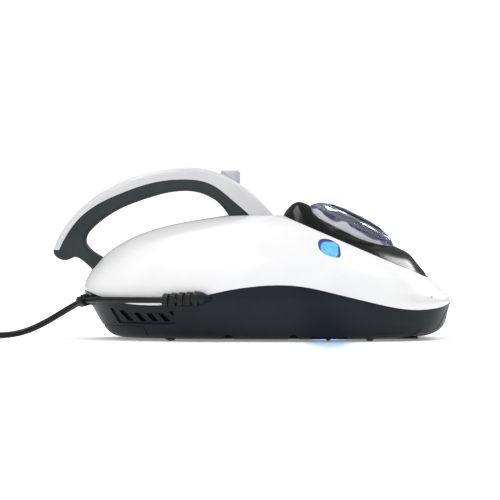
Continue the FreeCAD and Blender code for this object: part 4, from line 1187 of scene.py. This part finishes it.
@dataclass
class SupplyCord:
    """The mains cord: one run from the strain relief, a tied coil, and the plug on top of it."""

    finishes: Finishes
    diameter: float = 0.0068
    length: float = 4.95
    coil_centre: tuple[float, float] = (-0.347, 0.050)
    coil_radii: tuple[float, ...] = (0.038, 0.045, 0.052, 0.059)
    coil_step: float = 0.007
    turns: int = 15
    points_per_turn: int = 16
    sleeve_foot: Point = (-0.0546, -0.1246, 0.0468)
    ribs: int = 5
    rib_length: float = 0.0052
    rib_lean: float = 10.0
    rib_radii: tuple[float, float] = (0.0078, 0.0070)
    rib_chamfer: float = 0.0005
    rib_taper: float = 0.93
    end_gap: float = 0.0006
    core_radius: float = 0.0052
    core_taper: float = 0.76
    bar_width: float = 0.004
    step_over: float = 0.8
    LEAD_OUT: ClassVar[list[Point]] = [
        (-0.0934, -0.1138, 0.0447), (-0.1126, -0.1070, 0.0445), (-0.1324, -0.0954, 0.0442),
        (-0.1516, -0.0794, 0.0438), (-0.1680, -0.0604, 0.0433), (-0.1798, -0.0382, 0.0422),
        (-0.1904, -0.0198, 0.0366), (-0.2052, -0.0082, 0.0276), (-0.2220, -0.0034, 0.0174),
        (-0.2400, -0.0036, 0.0088), (-0.2575, -0.0059, 0.0043), (-0.2755, -0.0085, 0.0035),
        (-0.2960, -0.0098, 0.00345), (-0.3180, -0.0107, 0.00345), (-0.3400, -0.0092, 0.00345)]
    PLUG_LEAD: ClassVar[list[Point]] = [
        (-0.3560, -0.0012, 0.0244), (-0.3749, 0.0060, 0.0256), (-0.3899, 0.0199, 0.0282),
        (-0.3969, 0.0389, 0.0310), (-0.3962, 0.0588, 0.0336), (-0.3888, 0.0772, 0.0360),
        (-0.3753, 0.0914, 0.0373)]

    def build(self) -> list[str]:
        """Model the cord and its strain relief, and dress its tie and plug.

        Returns:
            Names of the pieces.
        """
        f = self.finishes
        cord = self.model_cord()
        sleeve = self.model_sleeve()
        fittings = dress(f.seal, "coil_tie") + dress(f.cord, "plug_body") + dress(f.nickel, "plug_pins")
        Bench.paint(cord, f.cord)
        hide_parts("supply_cord", "cord_coil", "plug_lead")
        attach(cord, "body")
        return [cord.name, sleeve.name] + fittings

    def model_sleeve(self) -> Piece:
        """The strain relief: leaning ribs on a tapered core, tied to each other by short bars.

        Returns:
            The finished sleeve.
        """
        run = Vector(self.LEAD_OUT[0]) - Vector(self.sleeve_foot)
        upright = standing(self.sleeve_foot, run)
        turn = upright.to_quaternion().to_matrix().to_4x4()
        sleeve = Bench.cylinder("strain_relief_sleeve", self.core_radius, run.length, 48)
        bpy.ops.object.mode_set(mode="EDIT")
        Bench.pick_faces(sleeve, faces_up)
        Bench.narrow((self.core_taper, self.core_taper, 1), (0, 0, run.length))
        bpy.ops.object.mode_set(mode="OBJECT")
        Bench.place(sleeve, upright)
        lean = Matrix.Rotation(math.radians(self.rib_lean), 4, "Y")
        first = self.rib_length / 2 + self.end_gap
        for index in range(self.ribs):
            share = index / (self.ribs - 1)
            radius = self.rib_radii[0] + (self.rib_radii[1] - self.rib_radii[0]) * share
            along = first + (run.length - 2 * first) * share
            centre = Vector(self.sleeve_foot) + run.normalized() * along
            turned = Matrix.Translation(centre) @ lean @ turn
            Bench.carve(sleeve, self.model_rib(radius, turned), "UNION")
            if index:
                Bench.carve(sleeve, self.model_bar(radius, index, centre, run, turn), "UNION")
        Bench.outward(sleeve)
        Bench.rounded(sleeve, 0.00035, 2, 40)
        Bench.smooth(sleeve, 35)
        Bench.paint(sleeve, self.finishes.sleeve)
        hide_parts("strain_relief")
        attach(sleeve, "body")
        return sleeve

    def model_rib(self, radius: float, turned: Matrix) -> Piece:
        """One rib, chamfered at both ends.

        Args:
            radius: the rib's radius.
            turned: its middle's place and lean.

        Returns:
            The rib.
        """
        rib = Bench.cylinder("rib", radius, self.rib_length, 48)
        bpy.ops.object.mode_set(mode="EDIT")
        for level, facing in ((0.0, -1), (self.rib_length, 1)):
            Bench.pick_faces(rib, lambda c, n: n.z * facing > 0.9)
            Bench.draw_out((0, 0, self.rib_chamfer * facing))
            Bench.narrow((self.rib_taper, self.rib_taper, 1), (0, 0, level))
        bpy.ops.object.mode_set(mode="OBJECT")
        Bench.place(rib, turned @ Matrix.Translation((0, 0, -self.rib_length / 2)))
        return rib

    def model_bar(self, radius: float, index: int, centre: Vector, run: Vector, turn: Matrix) -> Piece:
        """The bar that ties a rib to the one before it, on alternate sides.

        Args:
            radius: the rib's radius.
            index: the rib's number.
            centre: the rib's middle.
            run: from the sleeve's foot to its tip.
            turn: rotation that carries +Z to the run.

        Returns:
            The bar.
        """
        step = (run.length - self.rib_length) / (self.ribs - 1)
        wide = radius * 1.75
        size = (wide, self.bar_width, step) if index % 2 else (self.bar_width, wide, step)
        bar = Bench.cube("bar", size, (0, 0, 0))
        Bench.place(bar, Matrix.Translation(centre - run.normalized() * step / 2) @ turn)
        return bar

    def coil_place(self, turn: int) -> tuple[float, float]:
        """Radius and height of one whole turn of the coil.

        Args:
            turn: number of the turn, from 0.

        Returns:
            Radius of its middle and height of its middle.
        """
        rows = len(self.coil_radii)
        row, step = divmod(turn, rows)
        ring = rows - 1 - step if row % 2 == 0 else step
        return self.coil_radii[ring], self.diameter / 2 + row * self.coil_step

    def coil_points(self) -> list[Point]:
        """Control points of the coil, wound clockwise, stepping over to the next turn late in each.

        Returns:
            The points, from beside the end of the lead-out.
        """
        last = self.LEAD_OUT[-1]
        start = math.atan2(last[1] - self.coil_centre[1], last[0] - self.coil_centre[0])
        count = self.turns * self.points_per_turn
        swell = 1.0 / math.cos(math.pi / self.points_per_turn) ** 0.75
        points = []
        for index in range(1, count):
            turn, share = divmod(index / self.points_per_turn, 1.0)
            radius, height = self.coil_place(int(turn))
            if share > self.step_over and turn + 1 < self.turns:
                onward, higher = self.coil_place(int(turn) + 1)
                move = (share - self.step_over) / (1 - self.step_over)
                radius, height = radius + (onward - radius) * move, height + (higher - height) * move
            angle = start - 2 * math.pi * index / self.points_per_turn
            points.append((self.coil_centre[0] + radius * swell * math.cos(angle),
                           self.coil_centre[1] + radius * swell * math.sin(angle), height))
        return points

    def model_cord(self) -> Piece:
        """The cord as one smooth curve.

        Returns:
            The curve object.
        """
        points = self.LEAD_OUT + self.coil_points() + self.PLUG_LEAD
        curve = bpy.data.curves.new("mains_cord", "CURVE")
        curve.dimensions = "3D"
        curve.bevel_depth = self.diameter / 2
        curve.bevel_resolution = 3
        curve.resolution_u = 4
        curve.use_fill_caps = True
        spline = curve.splines.new("NURBS")
        spline.points.add(len(points) - 1)
        for control, point in zip(spline.points, points):
            control.co = (*point, 1.0)
        spline.order_u = 3
        spline.use_endpoint_u = True
        cord = bpy.data.objects.new("mains_cord", curve)
        bpy.context.scene.collection.objects.link(cord)
        return cord


# ---------------------------------------------------------------- studio
@dataclass(frozen=True)
class SoftLight:
    """One rectangular soft light, placed and aimed."""

    name: str
    place: Point
    aim: Point
    size: tuple[float, float]
    power: float

    def hang(self) -> None:
        """Add the light to the scene."""
        light = bpy.data.lights.new(self.name, "AREA")
        light.shape = "RECTANGLE"
        light.size, light.size_y = self.size
        light.energy = self.power
        lamp = bpy.data.objects.new(self.name, light)
        bpy.context.scene.collection.objects.link(lamp)
        lamp.location = self.place
        lamp.rotation_euler = (Vector(self.aim) - Vector(self.place)).to_track_quat("-Z", "Y").to_euler()


@dataclass
class Studio:
    """Pale floor, soft lights and a long-lens camera."""

    lens: float = 400.0
    distance: float = 6.0
    elevation: float = math.radians(1.1)
    target: Point = (-0.00135, 0.0, 0.0955)
    side_light: float = 0.10
    top_light: float = 0.82
    key_side: Point = (-0.25, -0.30, 0.85)
    # where the painted blue spill lies on the floor, and how far it reaches
    painted_glow_middle: Point = (0.082, -0.10, 0)
    painted_glow_reach: tuple[float, float] = (0.043, 0.36)
    LIGHTS: ClassVar[tuple[SoftLight, ...]] = (
        SoftLight("top_softbox", (-0.55, -0.45, 1.8), (0.0, 0, 0.05), (1.1, 0.5), 11.0),
        SoftLight("lid_card", (0.95, 0.12, 1.75), (0.11, 0, 0.13), (0.5, 0.35), 7.0),
        SoftLight("front_softbox", (-1.2, -2.0, 1.1), (0.0, 0, 0.08), (1.2, 1.0), 5.0),
        SoftLight("right_fill", (1.4, -2.2, 0.7), (0.1, 0, 0.06), (1.0, 0.8), 3.5),
        SoftLight("hump_card", (-0.36, 1.14, 1.72), (0.05, -0.03, 0.13), (0.6, 0.5), 5.0),
        SoftLight("rim_card", (1.24, 1.5, 0.99), (0.15, 0, 0.10), (0.8, 0.7), 20.0))

    def build(self) -> None:
        """Set the stage: floor, lights, camera and the plain tone curve."""
        self.lay_floor()
        self.hang_lights()
        self.set_camera()
        bpy.context.scene.view_settings.view_transform = "Standard"

    def lay_floor(self) -> None:
        """A large pale floor with the lamp's faint blue spill painted on it as a tint."""
        Bench.clear()
        bpy.ops.mesh.primitive_plane_add(size=30, location=(0, 0, 0))
        floor = bpy.context.object
        floor.name = "studio_floor"
        bpy.ops.object.mode_set(mode="EDIT")
        bpy.ops.mesh.subdivide(number_cuts=4)
        bpy.ops.object.mode_set(mode="OBJECT")
        r = Recipe("studio_floor")
        stretch = (1 / self.painted_glow_reach[0], 1 / self.painted_glow_reach[1], 1)
        # painted light: a blue patch in the floor's colour stands for the lamp's spill
        glow = r.span(r.reach(self.painted_glow_middle, stretch), 0.25, 1.0, 1, 0)
        paper = r.blend(r.noise(0.5), (0.95, 0.95, 0.95), (0.97, 0.97, 0.97))
        r.colour(r.layer(glow, paper, (0.23, 0.40, 0.54)))
        far = r.span(r.reach((0, 0, 0), (1, 1, 1)), 0.35, 1.7, 0.25, 0.85)
        r.join(far, r.shader.inputs["Emission Strength"])
        r.steady(Emission_Color=(1, 1, 1, 1), Roughness=0.9, Specular_IOR_Level=0.0)
        floor.data.materials.append(r.material)

    def hang_lights(self) -> None:
        """A bright surround, a broad top light, front fills and three cards for the gloss trim."""
        self.surround()
        for light in self.LIGHTS:
            light.hang()

    def surround(self) -> None:
        """White behind the object; its light and reflections are dimmer, brightest on the key side."""
        world = bpy.data.worlds.new("studio_surround")
        bpy.context.scene.world = world
        world.use_nodes = True
        nodes, links = world.node_tree.nodes, world.node_tree.links
        facing = nodes.new("ShaderNodeVectorMath")
        facing.operation = "DOT_PRODUCT"
        facing.inputs[1].default_value = Vector(self.key_side).normalized()
        links.new(nodes.new("ShaderNodeTexCoord").outputs["Generated"], facing.inputs[0])
        fade = nodes.new("ShaderNodeMapRange")
        levels = {"From Min": -0.35, "From Max": 0.95, "To Min": self.side_light, "To Max": self.top_light}
        for key, number in levels.items():
            fade.inputs[key].default_value = number
        links.new(facing.outputs["Value"], fade.inputs["Value"])
        seen = nodes.new("ShaderNodeMix")
        links.new(nodes.new("ShaderNodeLightPath").outputs["Is Camera Ray"], seen.inputs["Factor"])
        links.new(fade.outputs["Result"], seen.inputs["A"])
        seen.inputs["B"].default_value = 1.1
        nodes["Background"].inputs["Color"].default_value = (1, 1, 1, 1)
        links.new(seen.outputs["Result"], nodes["Background"].inputs["Strength"])

    def set_camera(self) -> None:
        """A level side view from a distance."""
        data = bpy.data.cameras.new("side_camera")
        data.lens = self.lens
        data.sensor_width = 36.0
        camera = bpy.data.objects.new("side_camera", data)
        bpy.context.scene.collection.objects.link(camera)
        back = Vector((0, -math.cos(self.elevation), math.sin(self.elevation)))
        camera.location = Vector(self.target) + back * self.distance
        camera.rotation_euler = (-back).to_track_quat("-Z", "Y").to_euler()
        bpy.context.scene.camera = camera


def main() -> None:
    """Build the stage and every sub-assembly in order, and report each piece."""
    logging.basicConfig(level=logging.INFO, format="%(message)s")
    finishes = Finishes()
    Studio().build()
    log.info("studio: stage, lights and camera")
    assemblies = (SupplyCord(finishes), Casing(finishes), Handle(finishes), DustBin(finishes),
                  ReleaseButtons(finishes), BrushHead(finishes), LampBay(finishes), SuctionUnit(finishes),
                  RunningGear(finishes))
    for assembly in assemblies:
        for piece in assembly.build():
            log.info("%s: %s", type(assembly).__name__, piece)


if __name__ == "__main__":
    main()
